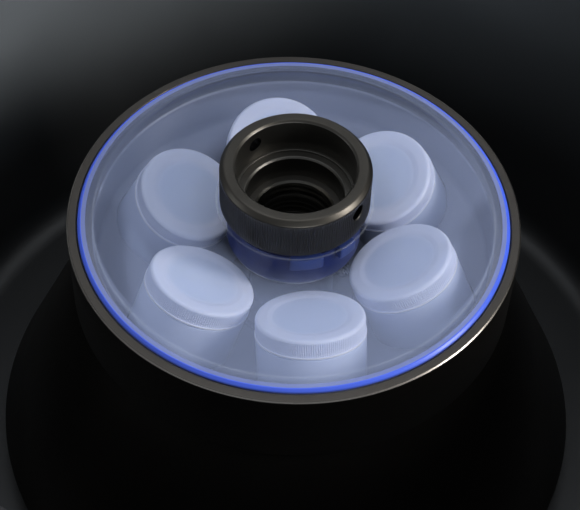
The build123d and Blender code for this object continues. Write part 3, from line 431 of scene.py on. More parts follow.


# dark anodising: bare metal shows along the rim's outer edge, and the bowl is painted paler and bluer, as painted
# light standing in for the light the translucent bottles spread through it
def rotorAnodising(name, user):
    finish = Finish(name)
    r, z = finish.radius() / mm, finish.axes()[2] / mm - lift
    rings = ((r + z * 0.7) * 9.0).math("SINE") * 0.5 + 0.5
    clouds = finish.noise(22.0, 4.0)
    speck = finish.noise(1400.0, 2.0)
    inBowl = 1.0 - r.step(user.bowl + 0.6, user.bowl + 1.0)
    inBowl = inBowl * z.step(50 - user.height, 60 - user.height)
    worn = r.step(user.rim - user.chamfer, user.rim - 0.5) * z.step(-1.1, -0.7)
    colour = clouds.step(0.3, 0.75).blend(user.colour, shaded(user.colour, 0.88))
    # painted light: the bowl is painted paler and bluer than the metal
    colour = inBowl.blend(worn.blend(colour, user.edgeColour), user.bowlColour)
    finish.feed("Metallic", 1.0 - inBowl * 0.8)
    rough = clouds * 0.12 + rings * 0.04 + inBowl * 0.15 - worn * 0.1 + (user.rough - 0.07)
    return finish.paint(colour, rough, rings * 0.6 + speck * 0.5, 0.00002)


rotorFinish = rotorAnodising("rotor_anodised", rotorUser)


# floor of the bowl: a cone square to the bottles
def bowlHeight(radius):
    lean = math.radians(bottleUser.tilt)
    mouthRadius = bottleUser.ring + bottleUser.show * math.sin(lean)
    mouth = -bottleUser.drop - bottleUser.show * math.cos(lean)
    return mouth + (radius - mouthRadius) * math.tan(lean)


# set-down of each bottle, from its cap's joint: the origin is the middle of the cap's top
def bottlePlaces():
    places = []
    for joint in frame["joints"]:
        if joint["name"].startswith("cap_turn"):
            axis, spot = np.array(joint["axis"], float), np.array(joint["pos_m"], float)
            side = np.array((-spot[1], spot[0], 0.0))
            side /= np.linalg.norm(side)
            places.append(placeOf(side, np.cross(axis, side), axis, spot / mm))
    return places


places = bottlePlaces()


# rim, undercut collar, cone and skirt as one turned outline, less one leaning pocket for each bottle
def makeRotor(user):
    foot, rim, seat, skirt, bowl = -user.height, user.rim, user.seat, user.skirt, user.bowl
    ringInner, ringOuter, skirtInner = user.recess
    ceiling = foot + user.recessHeight
    outline = rounded(
        [
            (user.hub, foot), (ringInner, foot), (ringInner, ceiling), (ringOuter, ceiling),
            (skirtInner, foot), (skirt - 2, foot), (skirt, foot + 4), (rim - user.undercut, -user.collar - 1.5),
            (rim - 1.2, -user.collar - 1.5), (rim, -user.collar), (rim, -user.chamfer),
            (rim - user.chamfer, 0.0), (seat + 0.5, 0.0), (seat, -0.5), (seat, -user.seatDepth),
            (bowl + 0.8, -user.seatDepth), (bowl, -user.seatDepth - 0.8), (bowl, bowlHeight(bowl)),
            (user.flat, bowlHeight(user.flat)), (user.hub, bowlHeight(user.flat)),
        ],
        {2: 6.0, 3: 10.0, 5: 0.8, 6: 1.0, 7: 1.2, 8: 0.5, 9: 0.5, 10: 0.6, 11: 0.6, 17: 5.0},
    )
    mesh = turnedMesh("rotor", outline, user.segments, lift)
    body = addPiece(mesh, rotorFinish, "rotor", ("rotor_body",))
    radius = bottleUser.radius + bottleUser.pocketPlay
    depth = -bottleUser.length - bottleUser.pocketFloor
    pocket = rounded([(0, depth), (radius, depth), (radius, 0), (0, 0)], {1: bottleUser.corner})
    meshes = [turnedMesh("cutter", pocket, bottleUser.segments, place=place) for place in places]
    cutAway(body, [addPiece(mesh) for mesh in meshes])


makeRotor(rotorUser)
print("rotor body done")


# ---- hub with the thread for the knob, seen at the bottom of the knob's bore; heights are above the rim plane
hubUser = Values(
    colour=(0.085, 0.082, 0.076), rough=0.38, ringRough=0.08, segments=192,
    rings=4.0,  # rings of this pitch are wider than the piece, so that it looks plain
    bore=15.0, flange=38.0, flangeHeight=6.0, collar=24.4, post=21.6, top=-6.0, postFoot=-24.0,
    well=19.8, wellFloor=-22.0, pitch=4.0, depth=0.7, wellDepth=0.5, head=11.1, screw=6.1, screwFoot=-124.0,
)
hubFinish = turnedFinish("hub_steel", hubUser.colour, hubUser.rough, pitch=hubUser.rings,
                         ringRough=hubUser.ringRough)


# turned outline with a threaded post, a threaded well and a stepped bore for the tie-down screw
def makeHub(user):
    flat, foot, outer = bowlHeight(rotorUser.flat), -rotorUser.height, rotorUser.hub - 0.05
    face, top, post, well, head = flat + user.flangeHeight, user.top, user.post, user.well, user.head
    outline = rounded(
        [
            (user.bore, foot), (outer, foot), (outer, flat), (user.flange, flat), (user.flange, face),
            (user.collar, face), (user.collar, user.postFoot), (post, user.postFoot), (post, top - 1),
            (post - 1.0, top), (well, top - 1.2), (well, user.wellFloor), (head, user.wellFloor),
            (head, user.postFoot), (user.screw, user.postFoot), (user.screw, user.screwFoot),
            (11.0, user.screwFoot),
        ],
        {4: 1.0, 5: 2.0, 6: 0.6},
    )
    outline = denser(outline, user.postFoot - 0.1, top, 0.5)

    # helix: the ridge runs once round for each pitch of height
    def thread(r, z, angle):
        climb = 1 - ridge(z / user.pitch - angle / (2 * math.pi))
        outside = within(z, user.postFoot + 0.5, top - 0.6, 0.5) * (r > post - 0.2)
        inside = within(z, user.wellFloor + 0.5, top - 0.8, 0.5) * (np.abs(r - well) < 0.2)
        return r - user.depth * outside * climb + user.wellDepth * inside * climb, z

    mesh = turnedMesh("rotor_hub_threaded", outline, user.segments, lift, thread)
    addPiece(mesh, hubFinish, "rotor", ("rotor_hub",))


makeHub(hubUser)
print("hub done")


# ---- clear lid of the rotor
coverUser = Values(
    crownColour=(0.57, 0.67, 1.0), stepColour=(0.80, 0.86, 1.0), bandColour=(0.37, 0.46, 1.0),
    edgeColour=(0.08, 0.17, 1.0), bossColour=(0.005, 0.017, 0.135),
    crownAlpha=0.23, underAlpha=0.075, bandAlpha=0.54, edgeAlpha=0.93, bossAlpha=0.88,
    mirror=0.5, rough=0.13, bandRough=0.2, bossRough=0.3, segments=512,
    edge=121.9, rimWidth=8.4, proud=1.9, crown=13.0, shoulder=10.1, bulge=6.0, thickness=2.4, boss=38.0,
    bossDrop=15.0, bore=33.4, knob=41.8, knobGap=2.5, seatPlay=0.2, sealPlay=0.3, groove=3.0,
    # radii and heights between which one shade passes into the next
    bandFrom=(116.9, 117.6), edgeFrom=(119.5, 119.9), edgeAbove=(-0.8, 0.1), bossTo=(38.6, 39.2),
    rimStep=(113.0, 113.6), bossStep=(43.2, 44.3), veilFrom=(47.0, 68.0), underFace=(-1.8, -0.9),
)


# the three points (r, z) that the top of the crown runs through, from the knob out to the rim
def crownSpots(user):
    inner = user.edge - user.rimWidth
    middle = (user.knob + inner) / 2 + user.bulge
    return (user.knob + user.knobGap, user.crown), (middle, user.shoulder), (inner, user.proud)


# clear moulding: the crown mostly mirrors the room, the rim's edge and the boss gather their own blue;
# its top face is taken as the parabola through the crown's three points
def clearFinish(name, user):
    finish = Finish(name, IOR=1.5)
    r = finish.radius() / mm
    z = finish.axes()[2] / mm - lift
    bend, slope, level = np.polyfit(*zip(*crownSpots(user)), 2).tolist()
    top = (r * bend + slope) * r + level
    upper = (z - top.math("MAXIMUM", user.proud)).step(*user.underFace)
    band = r.step(*user.bandFrom)
    edge = r.step(*user.edgeFrom) * z.step(*user.edgeAbove)
    boss = 1.0 - r.step(*user.bossTo)
    # the rings at the crown's two edges are painted paler and less clear: painted highlight lines
    steps = r.band(*user.rimStep, 0.5) * 0.5 + r.band(*user.bossStep, 0.3)
    haze = finish.noise(16.0, 4.0)
    fine = finish.noise(700.0, 2.0)
    colour = steps.blend(user.crownColour, user.stepColour)
    for mask, shade in ((band, user.bandColour), (edge, user.edgeColour), (boss, user.bossColour)):
        colour = mask.blend(colour, shade)
    alpha = upper * (user.crownAlpha - user.underAlpha) + haze * 0.04 + (user.underAlpha - 0.02)
    alpha = alpha * (r.step(*user.veilFrom) * 0.9 + 0.1)  # the milky veil fades towards the boss
    alpha = alpha + steps * upper * 0.2 + upper * band * (user.bandAlpha - user.crownAlpha)
    alpha = alpha + edge * (user.edgeAlpha - user.bandAlpha) + boss * (user.bossAlpha - user.underAlpha)
    finish.feed("Alpha", alpha)
    finish.feed("Metallic", (1.0 - band) * (1.0 - boss) * user.mirror)
    rough = haze * 0.06 + fine * 0.02 + (user.rough - 0.04) + band * user.bandRough + boss * user.bossRough
    return finish.paint(colour, rough, haze * 0.3 + fine * 0.03, 0.00008, 0.3)


coverFinish = clearFinish("clear_blue_lid", coverUser)


# turned outline: an arc above and one below for the crown, a rim with the seal's groove, and the boss
def makeCover(user):
    edge, proud, thick, boss = user.edge, user.proud, user.thickness, user.boss
    start, middle, end = crownSpots(user)
    lowStart, lowMiddle = (start[0], start[1] - thick), (middle[0], middle[1] - thick)
    lowEnd = (end[0] + 0.6, proud - thick)
    foot = user.seatPlay - rotorUser.seatDepth
    seal = (foot + proud) / 2
    groove = rotorUser.seat - user.sealPlay - user.groove
    rim = rounded(
        [
            end, (edge - 1.6, proud), (edge, proud - 1.6), (edge, seal + 1.5), (groove, seal + 1.5),
            (groove, seal - 1.5), (edge, seal - 1.5), (edge, foot), (lowEnd[0], foot), lowEnd,
        ],
        {1: 0.9, 2: 0.9, 7: 0.4, 8: 0.4},
    )
    inside = rounded(
        [
            lowStart, (boss + 2.4, lowStart[1]), (boss, lowStart[1] - 2.4), (boss, -user.bossDrop),
            (user.bore, -user.bossDrop), (user.bore, user.crown), start,
        ],
        {1: 1.2, 2: 1.2, 3: 0.8},
    )
    upper, lower = arcThrough(start, middle, end, 26), arcThrough(lowEnd, lowMiddle, lowStart, 26)
    outline = np.concatenate((upper[:-1], rim, lower[1:], inside[1:-1]))
    mesh = turnedMesh("rotor_lid_clear", outline, user.segments, lift, sharp=28.0)
    addPiece(mesh, coverFinish, "rotor_cover", ("rotor_lid",))


makeCover(coverUser)


# driving lugs moulded on the boss just under the crown, each from one angle to another
lugUser = Values(
    colour=(0.022, 0.045, 0.20), rough=0.3, spans=((-92, -66), (-51, -35), (88, 114), (129, 145)), columns=16,
    inner=37.8, outer=42.0, high=9.0, low=0.6,
)
lugFinish = grainedFinish("lug_blue", lugUser.colour, lugUser.rough, clouds=60.0, relief=0.00004)


def makeLugs(user):
    inner, outer, high, low = user.inner, user.outer, user.high, user.low
    corners = [(inner, low), (outer, low), (outer, high), (inner, high)]
    outline = rounded(corners, {0: 0.3, 1: 1.2, 2: 0.5, 3: 0.3})
    for number, (start, end) in enumerate(user.spans, 1):
        mesh = sectorMesh(f"boss_lug_{number}", outline, start, end, user.columns, lift)
        addPiece(mesh, lugFinish, "rotor_cover")


makeLugs(lugUser)


sealUser = Values(colour=(0.02, 0.02, 0.022), rough=0.6, section=1.5, segments=256)
rubberFinish = grainedFinish("black_rubber", sealUser.colour, sealUser.rough, clouds=20.0, relief=0.0001)


# a ring: a circle of the seal's section carried round
def makeSeal(user):
    ring = rotorUser.seat - coverUser.sealPlay - user.section
    height = (coverUser.seatPlay - rotorUser.seatDepth + coverUser.proud) / 2
    turn = np.linspace(0, 2 * math.pi, 16, endpoint=False)
    outline = np.stack((ring + user.section * np.cos(turn), height + user.section * np.sin(turn)), 1)
    mesh = turnedMesh("rotor_lid_o_ring", outline, user.segments, lift, sharp=60.0)
    addPiece(mesh, rubberFinish, "rotor_cover", ("rotor_lid_seal",))


makeSeal(sealUser)
print("rotor lid done")


# ---- knob; heights are above the rim plane
knobUser = Values(
    # the bore's and the thread's colours are painted light, paler than the outside; the holes' colour is painted
    # shade
    colour=(0.078, 0.072, 0.063), boreColour=(0.12, 0.115, 0.105), threadColour=(0.15, 0.145, 0.13),
    knurlColour=(0.058, 0.056, 0.054), holeColour=(0.006, 0.006, 0.006), rough=0.35, rings=4.0,
    radius=42.2, foot=13.1, top=40.6, chamfer=3.0, bore=33.4, ledge=17.6, step=27.0, stepFoot=2.6,
    stem=33.1, stemFoot=-20.0, groove=(-16.9, -15.3), grooveDepth=1.4,
    thread=22.2, threadDepth=0.9, pitch=4.0, flutes=180, fluteDepth=0.45,
    holeRadius=4.7, holeAngles=(-34.0, 134.5), holeDrop=10.3, segments=256,
)


# dark anodising with a darker knurl; the bore and the thread below its ledge are painted paler, as painted light
# in the hollow, and the bar holes inside the wall are painted near-black, as painted shade
def knobAnodising(name, user):
    finish = Finish(name, Metallic=1.0)
    rings, clouds, speck = finish.rings(user.rings), finish.noise(40.0, 4.0), finish.noise(1400.0, 2.0)
    r, z = finish.radius() / mm, finish.axes()[2] / mm - lift
    level, reach = user.top - user.holeDrop, user.holeRadius + 0.4
    inBore = 1.0 - r.step(user.bore + 0.1, user.bore + 0.4)
    inThread = (1.0 - z.step(user.stepFoot - 0.4, user.stepFoot)) * (1.0 - r.step(23.4, 23.8))
    inHole = r.band(user.bore + 0.4, user.radius - 0.8, 0.15) * z.band(level - reach, level + reach, 0.05)
    knurled = r.step(user.radius - 0.9, user.radius - 0.7) * z.band(user.foot + 2, user.top - 5, 1.0)
    colour = clouds.step(0.3, 0.75).blend(user.colour, shaded(user.colour, 0.85))
    # painted light in the bore and on the thread, painted shade in the bar holes
    for mask, shade in ((inBore, user.boreColour), (inThread, user.threadColour), (inHole, user.holeColour),
                        (knurled, user.knurlColour)):
        colour = mask.blend(colour, shade)
    rough = clouds * 0.12 + rings * 0.04 + (user.rough - 0.07) + knurled * 0.14
    return finish.paint(colour, rough, rings * 0.6 + speck * 0.5, 0.00002)


knobFinish = knobAnodising("knob_anodised", knobUser)


# turned outline with straight flutes round its outer wall, less two holes for a bar
def makeKnob(user):
    radius, foot, top, cham, bore = user.radius, user.foot, user.top, user.chamfer, user.bore
    stem, step, ledge = user.stem, user.step, user.ledge
    grooveFoot, grooveTop = user.groove
    outline = rounded(
        [
            (step, user.stemFoot), (stem, user.stemFoot), (stem, grooveFoot),
            (stem - user.grooveDepth, grooveFoot), (stem - user.grooveDepth, grooveTop), (stem, grooveTop),
            (stem, foot), (radius - 1.4, foot), (radius - 0.1, foot + 1.3), (radius - 0.1, top - cham),
            (radius - cham * 0.9, top), (bore + 1.2, top), (bore, top - 1.2), (bore, ledge + 1.2),
            (bore - 1.6, ledge + 1.2), (bore - 1.6, ledge), (step + 1.0, ledge), (step, ledge - 1.0),
        ],
        {7: 0.5, 8: 0.5, 9: 2.2, 10: 2.2, 11: 0.7, 12: 0.5, 14: 0.3, 16: 0.5, 17: 0.4},
    )
    outline = denser(outline, foot + 1.2, top - cham, 4.0)

    # flutes fade out below the top's chamfer
    def knurl(r, z, angle):
        inBand = within(z, foot + 1.8, top - cham - 0.8, 1.0) * (r > radius - 1.0)
        return r - user.fluteDepth * inBand * (1 - ridge(angle * user.flutes / (2 * math.pi))), z

    mesh = turnedMesh("knob", outline, user.flutes * 6, lift, knurl)
    knob = addPiece(mesh, knobFinish, "cover_knob", ("rotor_lid_knob",))
    hole, far = user.holeRadius, radius + 2
    drill = rounded([(0, 20), (hole - 0.7, 20), (hole, radius - 0.9), (hole + 3.1, far), (0, far)])
    cutters = []
    for angle in np.radians(user.holeAngles):
        out = (math.cos(angle), math.sin(angle), 0.0)
        place = placeOf((-out[1], out[0], 0.0), (0, 0, 1), out, (0, 0, lift + top - user.holeDrop))
        cutters.append(addPiece(turnedMesh("cutter", drill, 64, place=place)))
    cutAway(knob, cutters)


makeKnob(knobUser)


# threaded sleeve inside the stem: r = thread radius less a ridge that climbs one pitch a turn
def makeSleeve(user):
    low, high, inner = user.stemFoot, user.stepFoot, user.thread
    outline = rounded([(user.step, low), (user.step, high), (inner + 1.2, high), (inner, high - 1.2),
                       (inner, low + 1.0), (inner + 1.0, low)])
    outline = np.concatenate((outline[:1], denser(outline[1:], low, high, 0.5)))  # not on the hidden outside

    def thread(r, z, angle):
        inThread = within(z, low + 1, high - 1.2, 0.6) * (r < inner + 0.2)
        return r + user.threadDepth * inThread * ridge(z / user.pitch - angle / (2 * math.pi)), z

    mesh = turnedMesh("knob_sleeve", outline, user.segments, lift, thread)
    addPiece(mesh, knobFinish, "cover_knob")


makeSleeve(knobUser)
print("knob done")


# ---- bottles and their ribbed caps
capUser = Values(
    colour=(0.74, 0.79, 1.0), panelColour=(0.56, 0.66, 0.91), flangeColour=(0.92, 0.94, 1.0), rough=0.42,
    radius=30.4, height=10.8, flange=30.9, flangeHeight=1.2, panel=20.5, panelDepth=0.5, shoulder=2.2,
    inner=27.8, skin=2.2, lip=(32.15, 32.3), ribs=156, ribDepth=0.45,
)


# plastic that lets a little light through
def milkyFinish(name, weight):
    return Finish(name, Subsurface_Weight=weight, Subsurface_Radius=(0.004, 0.005, 0.007), Subsurface_Scale=1.0)


# shaded by the distance from the middle of the cap's top, in millimetres
def capFinish(name, place, user):
    finish = milkyFinish(name, 0.12)
    spots = {0: finish.place, 1: Vector(place[:3, 3]) * mm}
    offset = finish.place.node("ShaderNodeVectorMath", {"operation": "SUBTRACT"}, spots)
    away = offset.node("ShaderNodeVectorMath", {"operation": "LENGTH"}, {0: offset}, output=1) / mm
    panel = 1.0 - away.step(user.panel - 3.5, user.panel + 3.0)
    clouds = finish.noise(24.0, 4.0)
    grain = finish.noise(1100.0, 2.0)
    shade = panel * 0.8 + clouds.step(0.3, 0.8) * 0.2
    lip = away.step(*user.lip)
    colour = lip.blend(shade.blend(user.colour, user.panelColour), user.flangeColour)
    return finish.paint(colour, clouds * 0.14 + grain * 0.08 + (user.rough - 0.1), grain * 0.6 + clouds * 0.4,
                        0.00012, 0.35)


# hollow turned outline: a panel sunk into the top, a rounded shoulder, a ribbed wall and a flange
def makeCap(number, place, user):
    high, flange, core, panel = user.height, user.flange, user.radius, user.panel
    foot = user.flangeHeight - high
    outline = rounded(
        [
            (0, -user.panelDepth), (panel, -user.panelDepth), (panel + 3.0, 0), (core, 0), (core, foot),
            (flange, foot), (flange, -high), (user.inner, -high), (user.inner, -user.skin), (0, -user.skin),
        ],
        {1: 2.0, 2: 2.0, 3: user.shoulder, 5: 0.3, 6: 0.3}, 7,
    )
    # the stretch from the panel's edge down to the flange gets more points
    outline = np.concatenate((outline[:9], denser(outline[9:-4], foot, 0.0, 1.2), outline[-4:]))

    # fine rounded grip ribs, from below the rounded shoulder down to the flange
    def ribs(r, z, angle):
        inBand = within(z, foot - 0.1, -user.shoulder + 0.9, 1.6) * (r > core - 1.0) * (r < core + 0.1)
        return r - user.ribDepth * inBand * (0.5 - 0.5 * np.cos(angle * user.ribs)), z

    mesh = turnedMesh(f"cap_{number}_ribbed", outline, user.ribs * 4, ripple=ribs, place=place)
    addPiece(mesh, capFinish(f"cap_plastic_{number}", place, user), f"cap_{number}",
             (f"bottle_cap_{number}",))


# frosted plastic painted darker with depth below the rim plane: painted shade that deepens down into the rotor
def bottlePlastic(name, user):
    finish = milkyFinish(name, 0.1)
    depth = (lift - finish.axes()[2] / mm) / user.fade
    clouds = finish.noise(18.0, 4.0)
    grain = finish.noise(900.0, 2.0)
    return finish.paint(
        depth.step(0.15, 1.0).blend(user.top, user.foot),
        clouds * 0.14 + grain * 0.06 + (user.rough - 0.1), grain * 0.5 + clouds * 0.5, 0.00015, 0.35,
    )


bottleFinish = bottlePlastic("bottle_plastic", bottleUser)


# turned outline of one wall thickness: foot, wall, shoulder and neck
def makeBottle(number, place, user):
    outer, foot, wall, neck = user.radius, -user.length, user.wall, user.neck
    neckEnd, shoulder = user.inside
    outline = rounded(
        [
            (0, foot), (outer, foot), (outer, -user.shoulder), (neck, -user.neckFoot), (neck, -user.mouth),
            (neck - wall, -user.mouth), (neck - wall, -neckEnd), (outer - wall, -shoulder),
            (outer - wall, foot + wall), (0, foot + wall),
        ],
        {1: user.corner, 2: 0.8, 7: 1.0, 8: user.corner - wall},
    )
    mesh = turnedMesh(f"bottle_{number}_blown", outline, user.segments, place=place, sharp=40.0)
    addPiece(mesh, bottleFinish, "rotor", (f"bottle_{number}",))


for number, place in enumerate(places, 1):
    makeCap(number, place, capUser)
    makeBottle(number, place, bottleUser)
print("bottles and caps done")


# ---- rotor chamber
chamberUser = Values(
    colour=(0.017, 0.018, 0.019), rough=0.42, segments=384,
    filmColour=(0.125, 0.138, 0.150), filmHeight=(0.26, 0.395), filmEnd=(0.06, 0.23),  # these two in metres
    floor=238.0, mouth=252.0, round=20.0, sheet=2.5, hole=34.0, flange=268.0,
)


# satin black enamel, painted paler towards the mouth and less so to the right: painted light where the lamp from
# the right falls on the far wall
def filmFinish(name, user):
    finish = Finish(name)
    clouds = finish.noise(5.0, 4.0)
    grain = finish.noise(900.0, 2.0)
    x, _, z = finish.axes()
    # painted light on the wall: paler high up, and weaker to the right
    wallLight = (z + clouds * 0.05).step(*user.filmHeight) * (1.0 - x.step(*user.filmEnd) * 0.75)
    return finish.paint(
        wallLight.blend(user.colour, user.filmColour),
        clouds * 0.12 + grain * 0.06 + (user.rough - 0.09), grain + clouds * 0.15, 0.00008, 0.4,
    )


chamberFinish = filmFinish("chamber_black", chamberUser)


# turned sheet: floor with a hole for the boot, a rounded corner, a leaning wall and a flange
def makeChamber(user):
    sheet, wall, mouth = user.sheet, user.floor, user.mouth
    low, top = (corner.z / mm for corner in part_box("chamber_bowl"))
    floor = low + sheet
    outline = rounded(
        [
            (user.hole, floor - sheet), (wall + sheet, floor - sheet), (mouth + sheet, top - sheet),
            (user.flange, top - sheet), (user.flange, top), (mouth, top), (wall, floor), (user.hole, floor),
        ],
        {1: user.round + sheet, 2: 3.0, 5: 3.0, 6: user.round}, 9,
    )
    mesh = turnedMesh("chamber", outline, user.segments)
    addPiece(mesh, chamberFinish, "cabinet", ("chamber_bowl",))


makeChamber(chamberUser)


gasketUser = Values(inner=252.6, width=13.4, proud=6.0, segments=256)


# turned section: a foot in the deck's opening and a wider lip on the deck
def makeGasket(user):
    low, top = (corner.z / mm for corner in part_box("chamber_gasket"))
    deck = top - user.proud
    inner, outer = user.inner, user.inner + user.width
    opening = inner + user.width * 0.4 - 0.2
    outline = rounded(
        [(inner, low), (opening, low), (opening, deck), (outer, deck), (outer, deck + 3), (outer - 4, top),
         (inner + 3, top), (inner, top - 2.5)],
        {4: 1.0, 5: 3.0, 6: 2.0, 7: 1.5},
    )
    mesh = turnedMesh("gasket", outline, user.segments)
    addPiece(mesh, rubberFinish, "cabinet", ("chamber_gasket",))


makeGasket(gasketUser)
print("chamber done")


# ---- sloping front panel: places across it, up its slope and how far the pieces stand proud
frontUser = Values(
    dialX=(78.0, 172.0), dialV=20.0, keyX=(61.0, 125.0, 189.0), keyV=-30.0, displayV=2.0,
    glassProud=2.4, fasciaProud=3.0, dialProud=3.4, buttonProud=6.0,
)


# a place on the sloping front: across, up the slope and proud of it, worked out from the speed dial's joint
def frontPlace(x, v, proud, turn=0.0):
    dial = jointAt["speed_dial_turn"]
    across, normal = np.array((1.0, 0.0, 0.0)), np.array(dial["axis"], float)
    rise = np.cross(normal, across)
    cos, sin = math.cos(turn), math.sin(turn)
    origin = np.array(dial["pos_m"], float) / mm + (x - frontUser.dialX[0]) * across
    origin += (v - frontUser.dialV) * rise + proud * normal
    return placeOf(cos * across + sin * rise, cos * rise - sin * across, normal, origin)


dialUser = Values(
    colour=(0.028, 0.029, 0.031), rough=0.42, segments=240, radius=16.8, skirt=18.4, skirtHeight=1.9,
    height=14.9, crown=13.6, flutes=24, fluteDepth=1.1, pointer=(6.5, 12.6),
)
inkUser = Values(colour=(0.78, 0.79, 0.80), rough=0.55, clouds=60.0, shade=0.93, relief=0.00003)
inkThick = 0.12
dialFinish = grainedFinish("dial_plastic", dialUser.colour, dialUser.rough, relief=0.0001)
inkFinish = grainedFinish("legend_ink", **inkUser)


# a rectangle from corner to corner, with its corners rounded if a radius is given
def panelOutline(left, low, right, high, radius=0.0):
    corners = [(left, low), (right, low), (right, high), (left, high)]
    return rounded(corners, dict.fromkeys(range(4), radius) if radius else (), 3)


# scalloped grip: the wall sinks and rises as a cosine round the axis
def makeDial(name, x, user):
    high, wall, skirt, crown = user.height, user.radius, user.skirt, user.crown
    outline = rounded(
        [(0, 0), (skirt, 0), (skirt, user.skirtHeight), (wall, user.skirtHeight + 0.4), (wall, high - 3),
         (crown, high), (crown - 1.5, high - 0.5), (0, high - 0.5)],
        {2: 0.7, 3: 0.3, 4: 1.4, 5: 0.6, 6: 0.4},
    )
    outline = denser(outline, 2.0, high - 2.0, 1.0)

    def scallops(r, z, angle):
        inGrip = within(z, user.skirtHeight + 0.5, high - 1.2, 1.6) * (r > crown)
        return r - user.fluteDepth * inGrip * (0.5 - 0.5 * np.cos(angle * user.flutes)) ** 2, z

    place = frontPlace(x, frontUser.dialV, frontUser.dialProud)
    mesh = turnedMesh(f"{name}_dial_fluted", outline, user.segments, ripple=scallops, place=place)
    addPiece(mesh, dialFinish, f"{name}_control", (f"{name}_dial",))
    bar = panelOutline(-0.8, user.pointer[0], 0.8, user.pointer[1], 0.4)
    place = frontPlace(x, frontUser.dialV, frontUser.dialProud + high - 0.55)
    addPiece(slabsMesh(f"{name}_dial_pointer", [(bar, place)], 0.2), inkFinish, f"{name}_control")


for dialName, dialX in zip(("speed", "time"), frontUser.dialX):
    makeDial(dialName, dialX, dialUser)


# characters as a closed mesh of millimetres round their own middle
def textSlab(words, size, thick):
    curve = bpy.data.curves.new("characters", "FONT")
    curve.body, curve.size, curve.extrude = words, size, thick / 2
    curve.align_x, curve.align_y = "CENTER", "CENTER"
    holder = bpy.data.objects.new("characters", curve)
    bpy.context.scene.collection.objects.link(holder)
    mesh = bpy.data.meshes.new_from_object(holder.evaluated_get(bpy.context.evaluated_depsgraph_get()))
    bpy.data.objects.remove(holder)
    return mesh


scaleUser = Values(sweep=270.0, steps=10, ticks=(21.0, 24.0), numbers=27.6, size=4.6)


# ticks on a ring sector round each dial, every second one wider and longer and with its number
def makeScales(user):
    slabs, whole = [], bmesh.new()
    for dialX in frontUser.dialX:
        for step in range(user.steps + 1):
            turn = math.radians(user.sweep * (0.5 - step / user.steps))
            half, short = (0.45, 0.0) if step % 2 == 0 else (0.28, 1.0)
            bar = panelOutline(-half, user.ticks[0], half, user.ticks[1] - short)
            slabs.append((bar, frontPlace(dialX, frontUser.dialV, frontUser.fasciaProud + 0.02, turn)))
            if step % 2 == 0:
                x, v = -math.sin(turn) * user.numbers, math.cos(turn) * user.numbers
                place = frontPlace(dialX + x, frontUser.dialV + v, frontUser.fasciaProud + 0.09)
                matrix = Matrix(place.tolist())
                matrix.translation *= mm
                mesh = textSlab(str(step), user.size, inkThick)
                mesh.transform(matrix @ Matrix.Diagonal((mm, mm, mm, 1.0)))
                whole.from_mesh(mesh)
    addPiece(slabsMesh("dial_scale_ticks", slabs, inkThick), inkFinish, "cabinet")
    numbers = bpy.data.meshes.new("dial_scale_numbers")
    whole.to_mesh(numbers)
    whole.free()
    tidyMesh(numbers, 30.0)
    addPiece(numbers, inkFinish, "cabinet")


makeScales(scaleUser)


# seven-segment digits behind the window: where each row starts, its figures and which bars each figure lights
displayUser = Values(
    rows=((-192.0, "4500"), (-82.0, "15")), height=30.0, step=21.0, bar=2.6, gap=0.5, slant=0.10,
    litBars={"0": "abcdef", "1": "bc", "4": "bcfg", "5": "acdfg"},
    lit=(0.30, 0.95, 0.75), glow=1.6, unlit=(0.028, 0.034, 0.034),
)


def litFinish(name, colour, glow):
    finish = Finish(name, Emission_Strength=glow)
    cells = finish.noise(420.0, 2.0)
    finish.feed("Emission Color", cells.step(0.2, 0.8).blend(shaded(colour, 0.85), colour))
    finish.feed("Base Color", cells.blend(shaded(colour, 0.3), shaded(colour, 0.4)))
    finish.feed("Roughness", cells * 0.2 + 0.3)
    return finish.material


# each bar is a flat hexagon; upright bars are the same hexagon turned by a quarter
def makeDigits(user):
    high, wide, half = user.height, user.height * 0.5, user.bar / 2
    length = wide / 2 - user.gap
    level = np.array([(-length, 0), (-length + half, half), (length - half, half), (length, 0),
                      (length - half, -half), (-length + half, -half)])
    middles = {"a": (0, high / 2), "g": (0, 0), "d": (0, -high / 2), "b": (wide / 2, high / 4),
               "c": (wide / 2, -high / 4), "f": (-wide / 2, high / 4), "e": (-wide / 2, -high / 4)}
    lit, unlit = [], []
    for start, figures in user.rows:
        for spot, figure in enumerate(figures):
            place = frontPlace(start + spot * user.step, frontUser.displayV, frontUser.glassProud + 0.02)
            for bar, middle in middles.items():
                hexagon = (level[:, ::-1] if bar in "bcef" else level) + middle
                hexagon[:, 0] += hexagon[:, 1] * user.slant
                (lit if bar in user.litBars[figure] else unlit).append((hexagon, place))
    addPiece(slabsMesh("display_digits", lit, 0.1), litFinish("digit_light", user.lit, user.glow), "cabinet")
    dull = grainedFinish("digit_unlit", user.unlit, 0.4)
    addPiece(slabsMesh("display_unlit_bars", unlit, 0.08), dull, "cabinet")


makeDigits(displayUser)

# pictograms on the keys: open lid, start and stop
pictogramUser = Values(
    lid_key=[panelOutline(-5.5, -4.2, 5.5, -2.8), [(-5.5, -1.2), (5.5, -1.2), (0, 4.4)]],
    start_key=[[(-3.2, -4.0), (4.2, 0), (-3.2, 4.0)]],
    stop_key=[panelOutline(-3.4, -3.4, 3.4, 3.4, 0.5)],
)


def makePictograms(user):
    for (body, outlines), x in zip(user.items(), frontUser.keyX):
        place = frontPlace(x, frontUser.keyV, frontUser.buttonProud - 0.01)
        slabs = [(outline, place) for outline in outlines]
        addPiece(slabsMesh(f"{body}_pictogram", slabs, inkThick), inkFinish, body)


makePictograms(pictogramUser)
print("front panel done")


# ---- button-head screws with a hexagonal socket
screwUser = Values(
    colour=(0.30, 0.30, 0.31), rough=0.3, segments=36, radius=4.0, height=2.2, socket=1.75, depth=1.3,
)
screwFinish = turnedFinish("screw_steel", screwUser.colour, screwUser.rough, clouds=60.0, pitch=3000.0)


